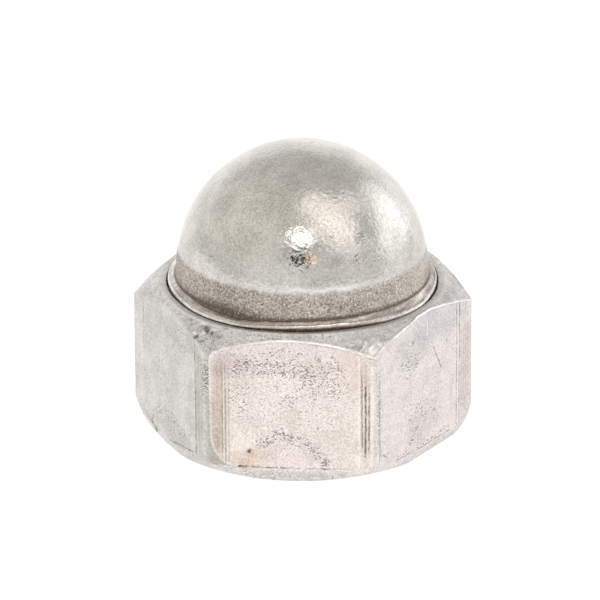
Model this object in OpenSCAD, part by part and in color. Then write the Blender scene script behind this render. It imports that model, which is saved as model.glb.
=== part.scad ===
// Two-piece domed cap nut: a forged hexagon nut, tapped right through, and a
// drawn dome whose foot stands in a shallow seat in the nut's upper face.
// Millimetres. The origin is the centre of the bearing face, and +Z runs along
// the thread's axis towards the top of the dome.

/* [Hexagon nut] */
// Width across the flats
across_flats = 17; // [16.5:0.5:22]
// Height of the nut, from the bearing face to the land around the seat
nut_h = 8.95; // [7:0.05:12]
// Radius of the six upright edges
edge_r = 0.5; // [0.3:0.05:1.2]
// Width of the level land between the seat and the upper cone
land_w = 0.3; // [0.1:0.05:0.6]
// Slope of the upper cone below level, in degrees
cone_slope = 36; // [20:1:45]
// How far the bearing face stops short of the flats
bearing_inset = 0.2; // [0.1:0.05:0.5]
// Height at which the rounded foot of each corner would stand upright
foot_round_h = 2.4; // [2:0.1:3.5]
// How far outside the corners that upright tangent lies
foot_round_over = 0.16; // [0.1:0.01:0.3]

/* [Thread] */
// Nominal diameter of the thread
thread_d = 10; // [8:0.5:12]
// Pitch of the thread, which also sets the bore left for tapping
thread_pitch = 1.5; // [1:0.25:1.75]
// How far each countersink reaches beyond the nominal thread radius
countersink_over = 0.4; // [0.2:0.05:0.6]
// Slope of the countersinks from level, in degrees
countersink_slope = 30; // [25:5:45]

/* [Domed cap] */
// Outer diameter of the dome
dome_d = 14.45; // [13.5:0.05:15]
// Thickness of the drawn metal
wall = 0.9; // [0.6:0.05:1.2]
// Height of the straight skirt under the dome
skirt_h = 0.2; // [0.2:0.05:1.5]
// How far the flange at the foot stands out from the skirt
flange_w = 0.5; // [0.25:0.01:0.6]
// Fall of the flange's top towards its rim, in degrees
flange_slope = 26; // [10:1:50]
// Bevel on the flange's rim
rim_bevel = 0.06; // [0.04:0.01:0.1]
// How far the skirt flares out at its foot, where it meets the flange
flare_w = 0.08; // [0.04:0.01:0.15]
// Height of that flare
flare_h = 0.3; // [0.2:0.05:0.6]
// Bevel inside the mouth of the cap
mouth_bevel = 0.25; // [0.1:0.05:0.4]

/* [Seat] */
// Depth of the seat below the nut's land
seat_depth = 0.7; // [0.4:0.05:1]
// Gap all round between the flange and the side of the seat
seat_gap = 0.14; // [0.05:0.01:0.2]
// How far the flange's rim stands above the nut's land
rim_proud = 0.25; // [0.2:0.01:0.5]

/* [Hidden] */
$fn = 96;

// Hexagon. Its edges are rounded by arcs that are a little larger than the
// tangent ones, so that each cuts the flats at a small, definite angle
edge_arc_over = 0.006;
flat_r = across_flats / 2;
edge_centre_r = (flat_r - edge_r) / cos(30);
edge_arc_r = edge_r + edge_arc_over;
corner_r = edge_centre_r + edge_arc_r;
flat_half_w = edge_centre_r * sin(30);
bearing_r = flat_r - bearing_inset;

// Rounded foot of the corners: an arc in the axial section, from the bearing
// face to an upright tangent just outside the corners
foot_tangent_r = corner_r + foot_round_over;
foot_reach = foot_tangent_r - bearing_r;
foot_arc_r = (pow(foot_reach, 2) + pow(foot_round_h, 2)) / (2 * foot_reach);
foot_arc_x = foot_tangent_r - foot_arc_r;

// Flange, and the seat that takes it
dome_r = dome_d / 2;
flange_r = dome_r + flange_w;
rim_z = nut_h + rim_proud;
seat_r = flange_r + seat_gap;
seat_z = nut_h - seat_depth;
land_r = seat_r + land_w;

// Foot of the skirt, where the flange's top starts, and the dome above it
root_r = dome_r + flare_w;
root_z = rim_z + (flange_r - rim_bevel - root_r) * tan(flange_slope);
skirt_z = root_z + flare_h;
dome_z = skirt_z + skirt_h;
inner_r = dome_r - wall;

// Bore and countersinks
bore_r = (thread_d - thread_pitch) / 2;
countersink_r = thread_d / 2 + countersink_over;
countersink_h = (countersink_r - bore_r) * tan(countersink_slope);

// Length by which a cutting shape runs past the face that it cuts
past = 1;

// Outline of the hexagon, with corners on the X axis and rounded edges
module hexagon_outline() {
    intersection() {
        circle(r = flat_r / cos(30), $fn = 6);
        union() {
            polygon([
                for (face = [30:60:330], side = [-1, 1])
                [
                    flat_r * cos(face) - side * flat_half_w * sin(face),
                    flat_r * sin(face) + side * flat_half_w * cos(face)
                ]
            ]);
            for (corner = [0:60:300])
                rotate(corner) translate([edge_centre_r, 0]) circle(r = edge_arc_r);
        }
    }
}

// Axial section that the hexagon is turned down to: a cone above, and the
// rounded foot of the corners below
module nut_envelope() {
    outer_r = foot_tangent_r + past;
    polygon([
        [0, foot_round_h],
        [outer_r, foot_round_h],
        [outer_r, nut_h - (outer_r - land_r) * tan(cone_slope)],
        [land_r, nut_h],
        [0, nut_h]
    ]);
    square([foot_arc_x, foot_round_h]);
    intersection() {
        translate([foot_arc_x, foot_round_h]) circle(r = foot_arc_r);
        translate([foot_arc_x, 0]) square([foot_arc_r + past, foot_round_h]);
    }
}

// Lead-in cone of the bore, narrowing upwards from z = 0
module countersink() {
    widen = past / tan(countersink_slope);
    translate([0, 0, -past])
        cylinder(r1 = countersink_r + widen, r2 = bore_r, h = countersink_h + past);
}

module hex_nut() {
    color("lightgray") difference() {
        intersection() {
            linear_extrude(height = nut_h) hexagon_outline();
            rotate_extrude() nut_envelope();
        }
        translate([0, 0, -past]) cylinder(r = bore_r, h = nut_h + 2 * past);
        translate([0, 0, seat_z]) cylinder(r = seat_r, h = seat_depth + past);
        countersink();
        translate([0, 0, seat_z]) mirror([0, 0, 1]) countersink();
    }
}

// Upper right quarter of a disc about the dome's centre
module quarter_disc(r) {
    translate([0, dome_z]) intersection() {
        circle(r = r);
        square([r, r]);
    }
}

// Axial section of the skirt, flared at its foot, and of the flange below it
module foot_section() {
    polygon([
        [0, seat_z],
        [flange_r, seat_z],
        [flange_r, rim_z - rim_bevel],
        [flange_r - rim_bevel, rim_z],
        [root_r, root_z],
        [dome_r, skirt_z],
        [dome_r, dome_z],
        [0, dome_z]
    ]);
}

// Axial section of the hollow inside the cap, open and bevelled at its mouth
module cap_hollow() {
    quarter_disc(inner_r);
    translate([0, seat_z - past]) square([inner_r, dome_z - seat_z + past]);
    polygon([
        [0, seat_z - past],
        [inner_r + mouth_bevel + past, seat_z - past],
        [inner_r, seat_z + mouth_bevel],
        [0, seat_z + mouth_bevel]
    ]);
}

module domed_cap() {
    color("silver") rotate_extrude() difference() {
        union() {
            quarter_disc(dome_r);
            foot_section();
        }
        cap_hollow();
    }
}

hex_nut();
domed_cap();
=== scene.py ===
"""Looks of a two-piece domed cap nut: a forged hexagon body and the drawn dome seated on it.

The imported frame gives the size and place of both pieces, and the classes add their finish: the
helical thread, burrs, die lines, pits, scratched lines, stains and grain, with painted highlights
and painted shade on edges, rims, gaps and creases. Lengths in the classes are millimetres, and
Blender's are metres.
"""

import logging
import math
from dataclasses import dataclass, field
from enum import Enum

import bpy
import numpy as np
from mathutils import Matrix, Vector


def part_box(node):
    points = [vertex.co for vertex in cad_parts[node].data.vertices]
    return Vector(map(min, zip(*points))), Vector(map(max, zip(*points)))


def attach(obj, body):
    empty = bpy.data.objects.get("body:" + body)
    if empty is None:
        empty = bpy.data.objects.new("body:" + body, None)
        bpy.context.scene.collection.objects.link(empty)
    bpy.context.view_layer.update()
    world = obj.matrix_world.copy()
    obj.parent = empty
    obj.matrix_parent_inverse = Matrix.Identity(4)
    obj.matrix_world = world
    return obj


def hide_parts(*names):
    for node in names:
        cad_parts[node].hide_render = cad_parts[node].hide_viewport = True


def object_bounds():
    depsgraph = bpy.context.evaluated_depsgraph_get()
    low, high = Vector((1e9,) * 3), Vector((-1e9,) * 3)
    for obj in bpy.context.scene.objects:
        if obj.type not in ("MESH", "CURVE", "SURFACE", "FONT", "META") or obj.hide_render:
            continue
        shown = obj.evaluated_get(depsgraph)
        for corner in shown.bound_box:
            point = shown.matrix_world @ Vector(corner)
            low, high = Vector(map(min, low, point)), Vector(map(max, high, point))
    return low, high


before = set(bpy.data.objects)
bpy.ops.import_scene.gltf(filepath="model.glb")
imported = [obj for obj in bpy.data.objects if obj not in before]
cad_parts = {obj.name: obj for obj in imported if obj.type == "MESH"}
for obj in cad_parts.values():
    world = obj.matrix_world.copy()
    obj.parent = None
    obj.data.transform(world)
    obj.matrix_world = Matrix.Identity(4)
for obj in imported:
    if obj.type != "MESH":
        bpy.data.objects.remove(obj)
CAD_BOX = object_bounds()

log = logging.getLogger("cap_nut")

MM = 0.001
# Place of the middle of each flat on the sheet that they lie side by side on, and of points that
# are on no flat.
SHEET_STEP = 20.0
OFF_SHEET = -60.0
CAP_TINT = (0.66, 0.64, 0.595)
Colour = tuple[float, float, float]
Socket = bpy.types.NodeSocket


# ---------------------------------------------------------------- numbers over a surface


def smooth_step(low: float, high: float, value: np.ndarray) -> np.ndarray:
    """Rise from 0 at low to 1 at high, with no corner at either end.

    Args:
        low: Value at which the rise starts.
        high: Value at which it ends.
        value: Numbers to map.

    Returns:
        The mapped numbers, from 0 to 1.
    """
    part = np.clip((value - low) / (high - low), 0.0, 1.0)
    return part * part * (3.0 - 2.0 * part)


def bell(distance: np.ndarray, width: float) -> np.ndarray:
    """Return 1 at no distance, falling to 0 like a bell of that half width."""
    return np.exp(-((distance / width) ** 2))


def value_noise(points: np.ndarray, scale: float, seed: int) -> np.ndarray:
    """Smooth seeded noise at points in space.

    Args:
        points: Points, one a row, in millimetres.
        scale: Size of the noise's lumps, in millimetres.
        seed: Number that picks one pattern.

    Returns:
        A value from -1 to 1 for each point.
    """
    place = points / scale + 31.7 * (seed + 1)
    cell = np.floor(place).astype(np.int64)
    part = place - cell
    part = part * part * (3.0 - 2.0 * part)
    total = np.zeros(len(points))
    for step in np.ndindex(2, 2, 2):
        corner = cell + np.array(step)
        mixed = corner[:, 0] * 73856093 ^ corner[:, 1] * 19349663 ^ corner[:, 2] * 83492791
        mixed = ((mixed ^ (mixed >> 13)) * 1274126177 + seed * 974711) & 0x7FFFFFFF
        mixed = ((mixed ^ (mixed >> 15)) * 668265263) & 0x7FFFFFFF
        height = ((mixed >> 7) & 0xFFFF) / 32767.5 - 1.0
        weight = np.prod(np.where(np.array(step) == 1, part, 1.0 - part), axis=1)
        total += height * weight
    return total


# ---------------------------------------------------------------- meshes made of rings


class Mark(Enum):
    """Values that the meshes carry for their materials, one number a point."""

    # dark: pits, bruises, smudges and other real marks, and also painted shade in gaps, creases and recesses.
    DARK = "dark"
    # bright: painted highlights on edges, rims, crests and glints, and also bright die ridges and bright
    # wear.
    BRIGHT = "bright"
    PITTED = "pitted"
    STAIN = "stain"
    GRIME = "grime"


@dataclass
class Rings:
    """Rows of points that run round the axis, one above another, joined into a skin.

    Every row has the same number of points, in the same order. sheet holds the place of each
    column on the sheet that the flats lie side by side on, where the stack has flats.
    """

    sheet: np.ndarray | None = None
    rows: list[np.ndarray] = field(default_factory=list)
    tints: list[np.ndarray] = field(default_factory=list)
    marks: list[dict[Mark, np.ndarray]] = field(default_factory=list)

    def add(self, points: np.ndarray, tint: np.ndarray, marks: dict[Mark, np.ndarray] | None = None) -> None:
        """Put one more row on top.

        Args:
            points: The row's points, in millimetres.
            tint: The row's colour tint, one colour or one a point.
            marks: What the row carries for the materials, where it isn't 0.
        """
        self.rows.append(points)
        self.tints.append(np.broadcast_to(tint, points.shape))
        self.marks.append(marks or {})

    def count(self) -> int:
        """Number of points in a row."""
        return len(self.rows[0])


class Skin:
    """One closed mesh, collected from stacks of rings and the joins between them."""

    def __init__(self) -> None:
        """Start with no points."""
        self.points: list[np.ndarray] = []
        self.tints: list[np.ndarray] = []
        self.marks: dict[Mark, list[np.ndarray]] = {mark: [] for mark in Mark}
        self.sheets: list[np.ndarray] = []
        self.faces: list[tuple[int, ...]] = []
        self.size = 0

    def stack(self, rings: Rings) -> tuple[int, int]:
        """Add a stack of rings, joined row to row.

        Args:
            rings: The stack, from its first row to its last.

        Returns:
            The index of the first point of the first row, and of the last row.
        """
        count = rings.count()
        start = self.size
        for points, tint, marks in zip(rings.rows, rings.tints, rings.marks):
            self.points.append(points)
            self.tints.append(tint)
            for mark in Mark:
                self.marks[mark].append(np.broadcast_to(marks.get(mark, 0.0), (count,)))
            self.sheets.append(np.full(count, OFF_SHEET) if rings.sheet is None else rings.sheet)
            self.size += count
        here = np.arange(count)
        ahead = np.roll(here, -1)
        for row in range(len(rings.rows) - 1):
            low = start + row * count
            quads = np.stack([low + here, low + ahead, low + count + ahead, low + count + here], axis=1)
            self.faces.extend(map(tuple, quads.tolist()))
        return start, start + (len(rings.rows) - 1) * count

    def join(self, first: int, first_count: int, last: int, last_count: int) -> None:
        """Join two rings of unlike counts with triangles, by their angle round the axis.

        Args:
            first: Index of the first point of the ring that the skin comes from.
            first_count: Points in that ring.
            last: Index of the first point of the ring that the skin goes to.
            last_count: Points in that ring.
        """
        every = np.concatenate(self.points)

        def turned(start: int, count: int) -> tuple[np.ndarray, np.ndarray]:
            """Order of a ring's points by angle, and those angles."""
            ring = every[start:start + count]
            angle = np.mod(np.arctan2(ring[:, 1], ring[:, 0]) + 1e-6, 2.0 * math.pi)
            order = np.argsort(angle)
            return start + order, angle[order]

        a, a_turn = turned(first, first_count)
        b, b_turn = turned(last, last_count)
        i = j = 0
        while i < first_count or j < last_count:
            next_a = a_turn[i + 1] if i + 1 < first_count else a_turn[(i + 1) % first_count] + 2.0 * math.pi
            next_b = b_turn[j + 1] if j + 1 < last_count else b_turn[(j + 1) % last_count] + 2.0 * math.pi
            at_a, at_b = int(a[i % first_count]), int(b[j % last_count])
            if j >= last_count or (i < first_count and next_a <= next_b):
                self.faces.append((at_a, int(a[(i + 1) % first_count]), at_b))
                i += 1
            else:
                self.faces.append((at_a, int(b[(j + 1) % last_count]), at_b))
                j += 1

    def close(self, ring: int, count: int, tip: np.ndarray, upwards: bool) -> None:
        """Close a small ring with a fan of triangles.

        Args:
            ring: Index of the first point of the ring.
            count: Points in the ring.
            tip: The point at the middle of the fan.
            upwards: Whether the ring is the last row of its stack, and not the first.
        """
        self.points.append(tip.reshape(1, 3))
        self.tints.append(self.tints[-1 if upwards else 0][:1])
        self.sheets.append(np.full(1, OFF_SHEET))
        for mark in Mark:
            self.marks[mark].append(np.zeros(1))
        middle = self.size
        self.size += 1
        for i in range(count):
            pair = (ring + i, ring + (i + 1) % count)
            self.faces.append((*pair, middle) if upwards else (pair[1], pair[0], middle))

    def build(self, name: str) -> bpy.types.Object:
        """Make the Blender object, with its tint and marks as attributes.

        Args:
            name: Name of the object.

        Returns:
            The object, in the scene.
        """
        points = np.concatenate(self.points) * MM
        mesh = bpy.data.meshes.new(name)
        mesh.from_pydata(points.tolist(), [], self.faces)
        mesh.shade_smooth()
        tint = mesh.attributes.new("tint", "FLOAT_COLOR", "POINT")
        colours = np.ones((len(points), 4), np.float32)
        colours[:, :3] = np.concatenate(self.tints)
        tint.data.foreach_set("color", colours.ravel())
        for mark, values in self.marks.items():
            layer = mesh.attributes.new(mark.value, "FLOAT", "POINT")
            layer.data.foreach_set("value", np.clip(np.concatenate(values), 0.0, 1.4).astype(np.float32))
        sheet = mesh.attributes.new("sheet", "FLOAT", "POINT")
        sheet.data.foreach_set("value", np.concatenate(self.sheets).astype(np.float32))
        mesh.validate()
        piece = bpy.data.objects.new(name, mesh)
        bpy.context.scene.collection.objects.link(piece)
        log.info("%s: %d points, %d faces", name, len(points), len(self.faces))
        return piece


# ---------------------------------------------------------------- the forged nut


class Side(Enum):
    """The six flats, by the direction in degrees that each one faces."""

    FRONT = -90
    RIGHT = -30
    BACK_RIGHT = 30
    BACK = 90
    BACK_LEFT = 150
    LEFT = 210


@dataclass(frozen=True)
class DieLine:
    """Upright groove or ridge that the die drew down a flat.

    A negative depth is a ridge. tone darkens the line above 0 and brightens it below.
    """

    u: float
    width: float
    depth: float
    low: float
    high: float
    tone: float


@dataclass(frozen=True)
class ScratchOrHighlight:
    """Line along a path of (u, z) corners on a flat, dark where tone is above 0 and bright below it.

    A dark one is a scratched line or a line of wear. A bright one is painted highlight along the
    panel's border and at the corners, and a few are bright scratched lines.
    """

    path: tuple[tuple[float, float], ...]
    width: float
    tone: float


@dataclass(frozen=True)
class PitPatch:
    """Oval patch of a flat that is strewn with fine pits."""

    u: float
    z: float
    half_u: float
    half_z: float
    amount: float


@dataclass(frozen=True)
class Blot:
    """Round mark on a flat: one larger pit, or a spot of stain."""

    u: float
    z: float
    radius: float
    depth: float = 0.0
    dark: float = 0.0
    stain: float = 0.0


@dataclass(frozen=True)
class Shade:
    """Broad soft-edged patch of a flat whose tint is multiplied by a colour."""

    u: float
    z: float
    half_u: float
    half_z: float
    colour: Colour


@dataclass(frozen=True)
class FlatLook:
    """How one flat of the nut came out of the forge, and what has happened to it since.

    Places are (u, z): u runs along the flat from its middle, and z up from the bearing face.
    burr is how far the top crease is burred, as (u, amount). border is the edge of the struck
    panel, as (z, u) from the foot up. Outside it, towards negative u and below its first height,
    the metal is lower and has the rim's tint. step is the width between the flat's columns.
    """

    tint: Colour
    fold_z: float
    burr: tuple[tuple[float, float], ...]
    lines: tuple[DieLine, ...] = ()
    scratches_and_highlights: tuple[ScratchOrHighlight, ...] = ()
    patches: tuple[PitPatch, ...] = ()
    blots: tuple[Blot, ...] = ()
    shades: tuple[Shade, ...] = ()
    border: tuple[tuple[float, float], ...] = ()
    rim_tint: Colour = (0.56, 0.55, 0.49)
    foot_tint: Colour = (0.8, 0.775, 0.755)
    step: float = 0.11


def each(kind: type, *rows: tuple) -> tuple:
    """Make one mark of a kind from each row of its values."""
    return tuple(kind(*row) for row in rows)


def pit_trail(path: tuple[tuple[float, float], ...], half: float, amount: float) -> tuple[PitPatch, ...]:
    """Patches of pits strung along a path of (u, z) places.

    Args:
        path: Places along the trail.
        half: Half width of the trail.
        amount: How thickly it is pitted.

    Returns:
        The patches.
    """
    patches = []
    for (u0, z0), (u1, z1) in zip(path, path[1:]):
        count = max(1, round(math.hypot(u1 - u0, z1 - z0) / half))
        for step in range(count):
            part = (step + 0.5) / count
            patches.append(PitPatch(u0 + (u1 - u0) * part, z0 + (z1 - z0) * part, half, half, amount))
    return tuple(patches)


# Tints of the flats. The front's brighter, pinker tint and the left's darker, greener one paint in part the
# light and reflections that fall on those sides.
PINK_STEEL: Colour = (0.935, 0.86, 0.812)
GREEN_STEEL: Colour = (0.735, 0.733, 0.69)
GREY_STEEL: Colour = (0.862, 0.812, 0.785)

FRONT_LOOK = FlatLook(
    tint=PINK_STEEL,
    fold_z=0.9,
    burr=((-4.9, 0.0), (-3.2, 0.05), (-2.7, 0.5), (-1.0, 0.9), (0.5, 1.0), (4.9, 1.0)),
    lines=each(
        DieLine,
        (-4.15, 0.06, 0.01, 1.5, 7.4, 0.3), (-3.87, 0.05, 0.02, 1.1, 7.4, 0.55),
        (-3.78, 0.045, -0.01, 1.1, 6.8, -0.7), (-3.69, 0.055, 0.02, 1.1, 7.2, 0.65),
        (-3.59, 0.045, -0.01, 1.1, 6.3, -0.45), (-3.5, 0.05, 0.015, 1.1, 6.9, 0.4),
        (3.86, 0.06, -0.012, 1.0, 7.9, -0.8), (4.0, 0.055, 0.03, 2.2, 7.0, 0.35),
        (4.12, 0.05, -0.01, 1.0, 7.6, -0.5), (4.23, 0.07, 0.03, 1.7, 6.5, 0.4),
        (4.33, 0.05, -0.01, 1.6, 6.4, -0.5), (4.45, 0.06, 0.02, 1.6, 6.7, 0.3),
        (4.6, 0.08, -0.01, 1.0, 7.4, -0.6)),
    scratches_and_highlights=each(
        ScratchOrHighlight,
        (((-2.95, 0.9), (-2.5, 0.9)), 0.07, 1.0), (((-2.25, 0.9), (-1.62, 0.89)), 0.045, 0.9),
        (((-1.5, 0.89), (-0.95, 0.89)), 0.045, 0.9), (((-0.86, 0.89), (-0.8, 0.89)), 0.05, 0.8),
        (((-0.6, 0.89), (-0.15, 0.88)), 0.045, 0.8), (((-0.15, 0.88), (1.85, 0.87)), 0.03, 0.55),
        (((1.75, 0.87), (2.2, 0.87)), 0.055, 0.9), (((2.2, 0.87), (3.6, 0.93)), 0.03, 0.3),
        (((-3.3, 0.93), (-3.8, 1.15)), 0.03, -0.35), (((-3.8, 1.15), (-4.24, 1.7)), 0.03, -0.35),
        (((-4.24, 1.7), (-4.5, 2.45)), 0.035, -0.45), (((-4.5, 2.45), (-4.55, 4.97)), 0.035, -0.3),
        (((-4.55, 4.97), (-4.57, 7.5)), 0.04, -0.4), (((-4.57, 7.5), (-4.35, 7.9)), 0.035, -0.5),
        (((-4.35, 7.9), (-3.8, 8.1)), 0.03, -0.4), (((4.3, 8.02), (4.86, 7.7)), 0.04, -0.5),
        (((4.45, 7.86), (4.7, 7.7)), 0.04, 0.8), (((4.02, 8.14), (4.62, 8.38)), 0.04, -0.5),
        (((3.95, 8.2), (4.5, 8.5)), 0.05, 0.5), (((4.01, 6.7), (4.03, 2.3)), 0.03, 0.7),
        (((4.22, 6.0), (4.24, 4.2), (4.2, 1.7)), 0.045, 0.95),
        (((4.43, 5.6), (4.42, 1.9)), 0.035, 0.8)),
    patches=each(
        PitPatch,
        (-2.1, 6.95, 1.6, 0.65, 0.95), (0.1, 7.0, 1.7, 0.5, 1.05), (1.1, 6.75, 1.3, 0.65, 1.15),
        (2.5, 6.95, 0.7, 0.8, 0.7), (1.9, 5.9, 1.5, 0.9, 0.75), (-2.9, 5.4, 0.7, 1.9, 0.5),
        (-0.1, 4.9, 0.6, 0.5, 0.7), (0.2, 4.3, 4.0, 3.4, 0.18), (-1.0, 7.8, 3.0, 0.5, 0.35),
        (-4.8, 6.3, 0.22, 1.1, 1.5))
    + pit_trail(((-1.7, 2.15), (-1.2, 2.75), (-0.45, 3.05)), 0.36, 1.3)
    + pit_trail(((-0.45, 2.75), (0.5, 2.6), (1.2, 2.1), (1.75, 1.5), (2.05, 1.1)), 0.36, 1.2),
    blots=each(
        Blot,
        (-2.49, 7.3, 0.12, 0.05, 0.95), (-2.95, 7.42, 0.08, 0.03, 0.7), (1.61, 7.55, 0.13, 0.06, 1.0),
        (2.34, 7.75, 0.09, 0.03, 0.8), (2.55, 7.45, 0.07, 0.03, 0.7), (2.68, 6.97, 0.09, 0.03, 0.8),
        (-1.43, 6.73, 0.1, 0.03, 0.8), (0.92, 6.95, 0.12, 0.03, 0.8), (1.22, 6.55, 0.11, 0.03, 0.8),
        (-2.37, 1.82, 0.13, 0.05, 1.0), (-2.3, 1.95, 0.08, 0.05, 0.8), (-0.15, 4.85, 0.09, 0.02, 0.6),
        (-0.4, 3.05, 0.1, 0.02, 0.8), (-1.35, 2.48, 0.09, 0.02, 0.7), (1.3, 2.05, 0.09, 0.02, 0.7),
        (1.98, 1.25, 0.1, 0.02, 0.8), (-2.2, 1.76, 0.24, 0.0, 0.0, 0.45),
        (-2.72, 1.15, 0.4, 0.0, 0.0, 0.3), (-0.1, 2.4, 0.35, 0.0, 0.0, 0.12)),
    shades=each(
        Shade,
        (-4.05, 4.2, 0.55, 3.6, (0.79, 0.75, 0.71)), (4.2, 4.2, 0.3, 3.4, (0.84, 0.79, 0.76)),
        (-3.5, 7.2, 1.5, 0.9, (0.87, 0.84, 0.86)), (-0.5, 7.1, 3.2, 0.55, (0.96, 0.94, 0.94)),
        (0.4, 8.25, 4.4, 0.75, (0.93, 0.93, 0.94)), (0.0, 1.7, 2.4, 0.9, (0.98, 0.96, 0.975)),
        (3.4, 6.9, 0.9, 1.4, (0.94, 0.9, 0.88)), (-2.6, 1.3, 1.3, 0.7, (0.94, 0.9, 0.86))),
    border=((0.6, -1.2), (0.86, -2.9), (0.97, -3.55), (1.2, -3.85), (1.76, -4.24), (2.45, -4.5),
            (4.97, -4.55), (7.5, -4.57), (7.8, -4.47), (7.95, -4.2), (8.1, -3.8), (8.3, -3.0)),
)

RIGHT_LOOK = FlatLook(
    tint=GREY_STEEL,
    fold_z=0.66,
    burr=((-4.9, 0.2), (-3.6, 0.15), (-3.2, 0.35), (-2.4, 1.1), (0.0, 1.0), (3.4, 0.6), (4.2, 0.3),
          (4.9, 0.4)),
    lines=each(
        DieLine,
        (3.1, 0.05, -0.01, 0.8, 8.2, -0.4), (3.23, 0.05, 0.025, 0.6, 8.3, 1.1),
        (3.37, 0.05, -0.01, 0.8, 8.2, -0.5), (3.52, 0.055, 0.03, 0.6, 8.4, 1.2),
        (3.72, 0.05, 0.01, 0.9, 8.0, 0.35), (3.95, 0.05, 0.01, 0.9, 7.8, 0.3),
        (4.15, 0.05, 0.01, 0.9, 7.8, 0.35), (4.38, 0.05, 0.01, 0.9, 7.8, 0.3),
        (0.1, 0.04, 0.01, 4.4, 6.2, 0.4), (-4.68, 0.05, 0.02, 1.2, 6.6, 0.9),
        (-4.78, 0.05, -0.01, 0.9, 6.9, -0.7)),
    scratches_and_highlights=each(
        ScratchOrHighlight,
        (((0.19, 8.2), (0.2, 7.4)), 0.04, -0.6),
        (((0.85, 6.4), (1.03, 6.0), (1.4, 5.35), (1.62, 4.85)), 0.04, 0.75),
        (((-2.95, 0.8), (-1.62, 0.68), (-0.17, 0.64), (1.17, 0.63), (2.53, 0.62)), 0.045, 0.6),
        (((-4.62, 2.6), (-4.5, 1.6)), 0.05, 0.6), (((-4.3, 1.6), (-3.95, 1.35)), 0.05, 0.6),
        (((-4.55, 8.05), (-4.2, 8.22)), 0.04, -0.5)),
    patches=each(
        PitPatch,
        (-1.5, 6.1, 1.3, 0.8, 0.85), (-0.9, 7.2, 1.6, 0.6, 0.45), (-0.6, 3.1, 1.8, 1.4, 0.45),
        (-4.72, 4.4, 0.22, 2.7, 1.4), (0.0, 4.4, 4.4, 3.8, 0.16))
    + pit_trail(((-1.6, 1.2), (-0.8, 2.3), (0.4, 2.6), (1.3, 2.1)), 0.42, 0.6)
    + pit_trail(((-3.0, 0.95), (2.4, 0.8)), 0.3, 0.6),
    blots=each(
        Blot,
        (2.17, 6.37, 0.1, 0.03, 0.9), (-0.8, 2.05, 0.09, 0.02, 0.7), (-1.75, 5.95, 0.1, 0.02, 0.7),
        (-0.95, 6.1, 0.11, 0.03, 0.7), (0.15, 2.35, 0.07, 0.02, 0.5)),
    shades=each(
        Shade,
        (-4.75, 4.2, 0.22, 2.4, (0.8, 0.8, 0.8)), (-1.5, 7.2, 2.2, 1.2, (0.91, 0.91, 0.92)),
        (1.3, 7.9, 2.8, 1.4, (0.88, 0.91, 0.93)), (-0.2, 1.9, 2.6, 0.9, (0.93, 0.92, 0.93)),
        (4.2, 4.0, 0.7, 3.6, (0.93, 0.91, 0.89))),
    border=((0.4, -3.0), (0.6, -4.9), (8.9, -5.4)),
)

LEFT_LOOK = FlatLook(
    tint=GREEN_STEEL,
    fold_z=0.52,
    burr=((-4.9, 0.1), (4.9, 0.05)),
    lines=each(
        DieLine,
        (-3.42, 0.05, 0.02, 3.7, 8.2, 0.65), (-3.3, 0.05, 0.0, 3.7, 8.0, -0.3),
        (-4.05, 0.04, 0.01, 1.6, 7.5, 0.2), (3.56, 0.05, -0.01, 1.0, 7.6, -0.4),
        (3.72, 0.06, 0.025, 0.9, 7.4, 0.75), (3.85, 0.05, 0.01, 0.9, 6.6, 0.35),
        (4.38, 0.08, -0.02, 1.9, 7.3, -0.3)),
    scratches_and_highlights=each(
        ScratchOrHighlight,
        (((3.7, 8.0), (3.72, 4.5), (3.66, 1.1)), 0.035, 0.75),
        (((0.15, 0.53), (1.69, 0.8), (3.21, 1.04)), 0.045, 0.6),
        (((-3.4, 0.95), (-2.65, 0.66), (-1.3, 0.5)), 0.05, 0.6)),
    patches=each(
        PitPatch,
        (0.0, 4.3, 4.2, 3.6, 0.12), (1.8, 7.4, 1.8, 0.8, 0.35), (4.75, 6.2, 0.35, 1.3, 1.3),
        (0.2, 1.4, 2.2, 0.7, 0.25))
    + pit_trail(((-2.6, 0.8), (-1.7, 1.7), (-0.5, 2.15), (0.6, 2.05), (2.3, 1.35)), 0.36, 0.9),
    blots=each(
        Blot,
        (0.64, 6.65, 0.1, 0.03, 0.9), (0.66, 6.5, 0.08, 0.03, 0.7), (-0.99, 3.89, 0.1, 0.02, 0.6),
        (-1.96, 0.32, 0.2, 0.06, 1.0), (-2.4, 0.62, 0.12, 0.04, 0.9), (-0.55, 2.18, 0.09, 0.02, 0.7),
        (3.61, 8.27, 0.13, 0.04, 0.9)),
    shades=each(
        Shade,
        (4.25, 4.6, 0.55, 3.6, (0.82, 0.81, 0.77)), (1.6, 7.6, 2.4, 0.9, (0.9, 0.9, 0.9)),
        (-2.2, 7.3, 2.2, 1.5, (0.92, 0.92, 0.92)), (0.2, 1.3, 2.6, 0.8, (0.93, 0.93, 0.93)),
        (-3.9, 4.4, 0.5, 3.6, (1.06, 1.05, 1.05))),
)

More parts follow.
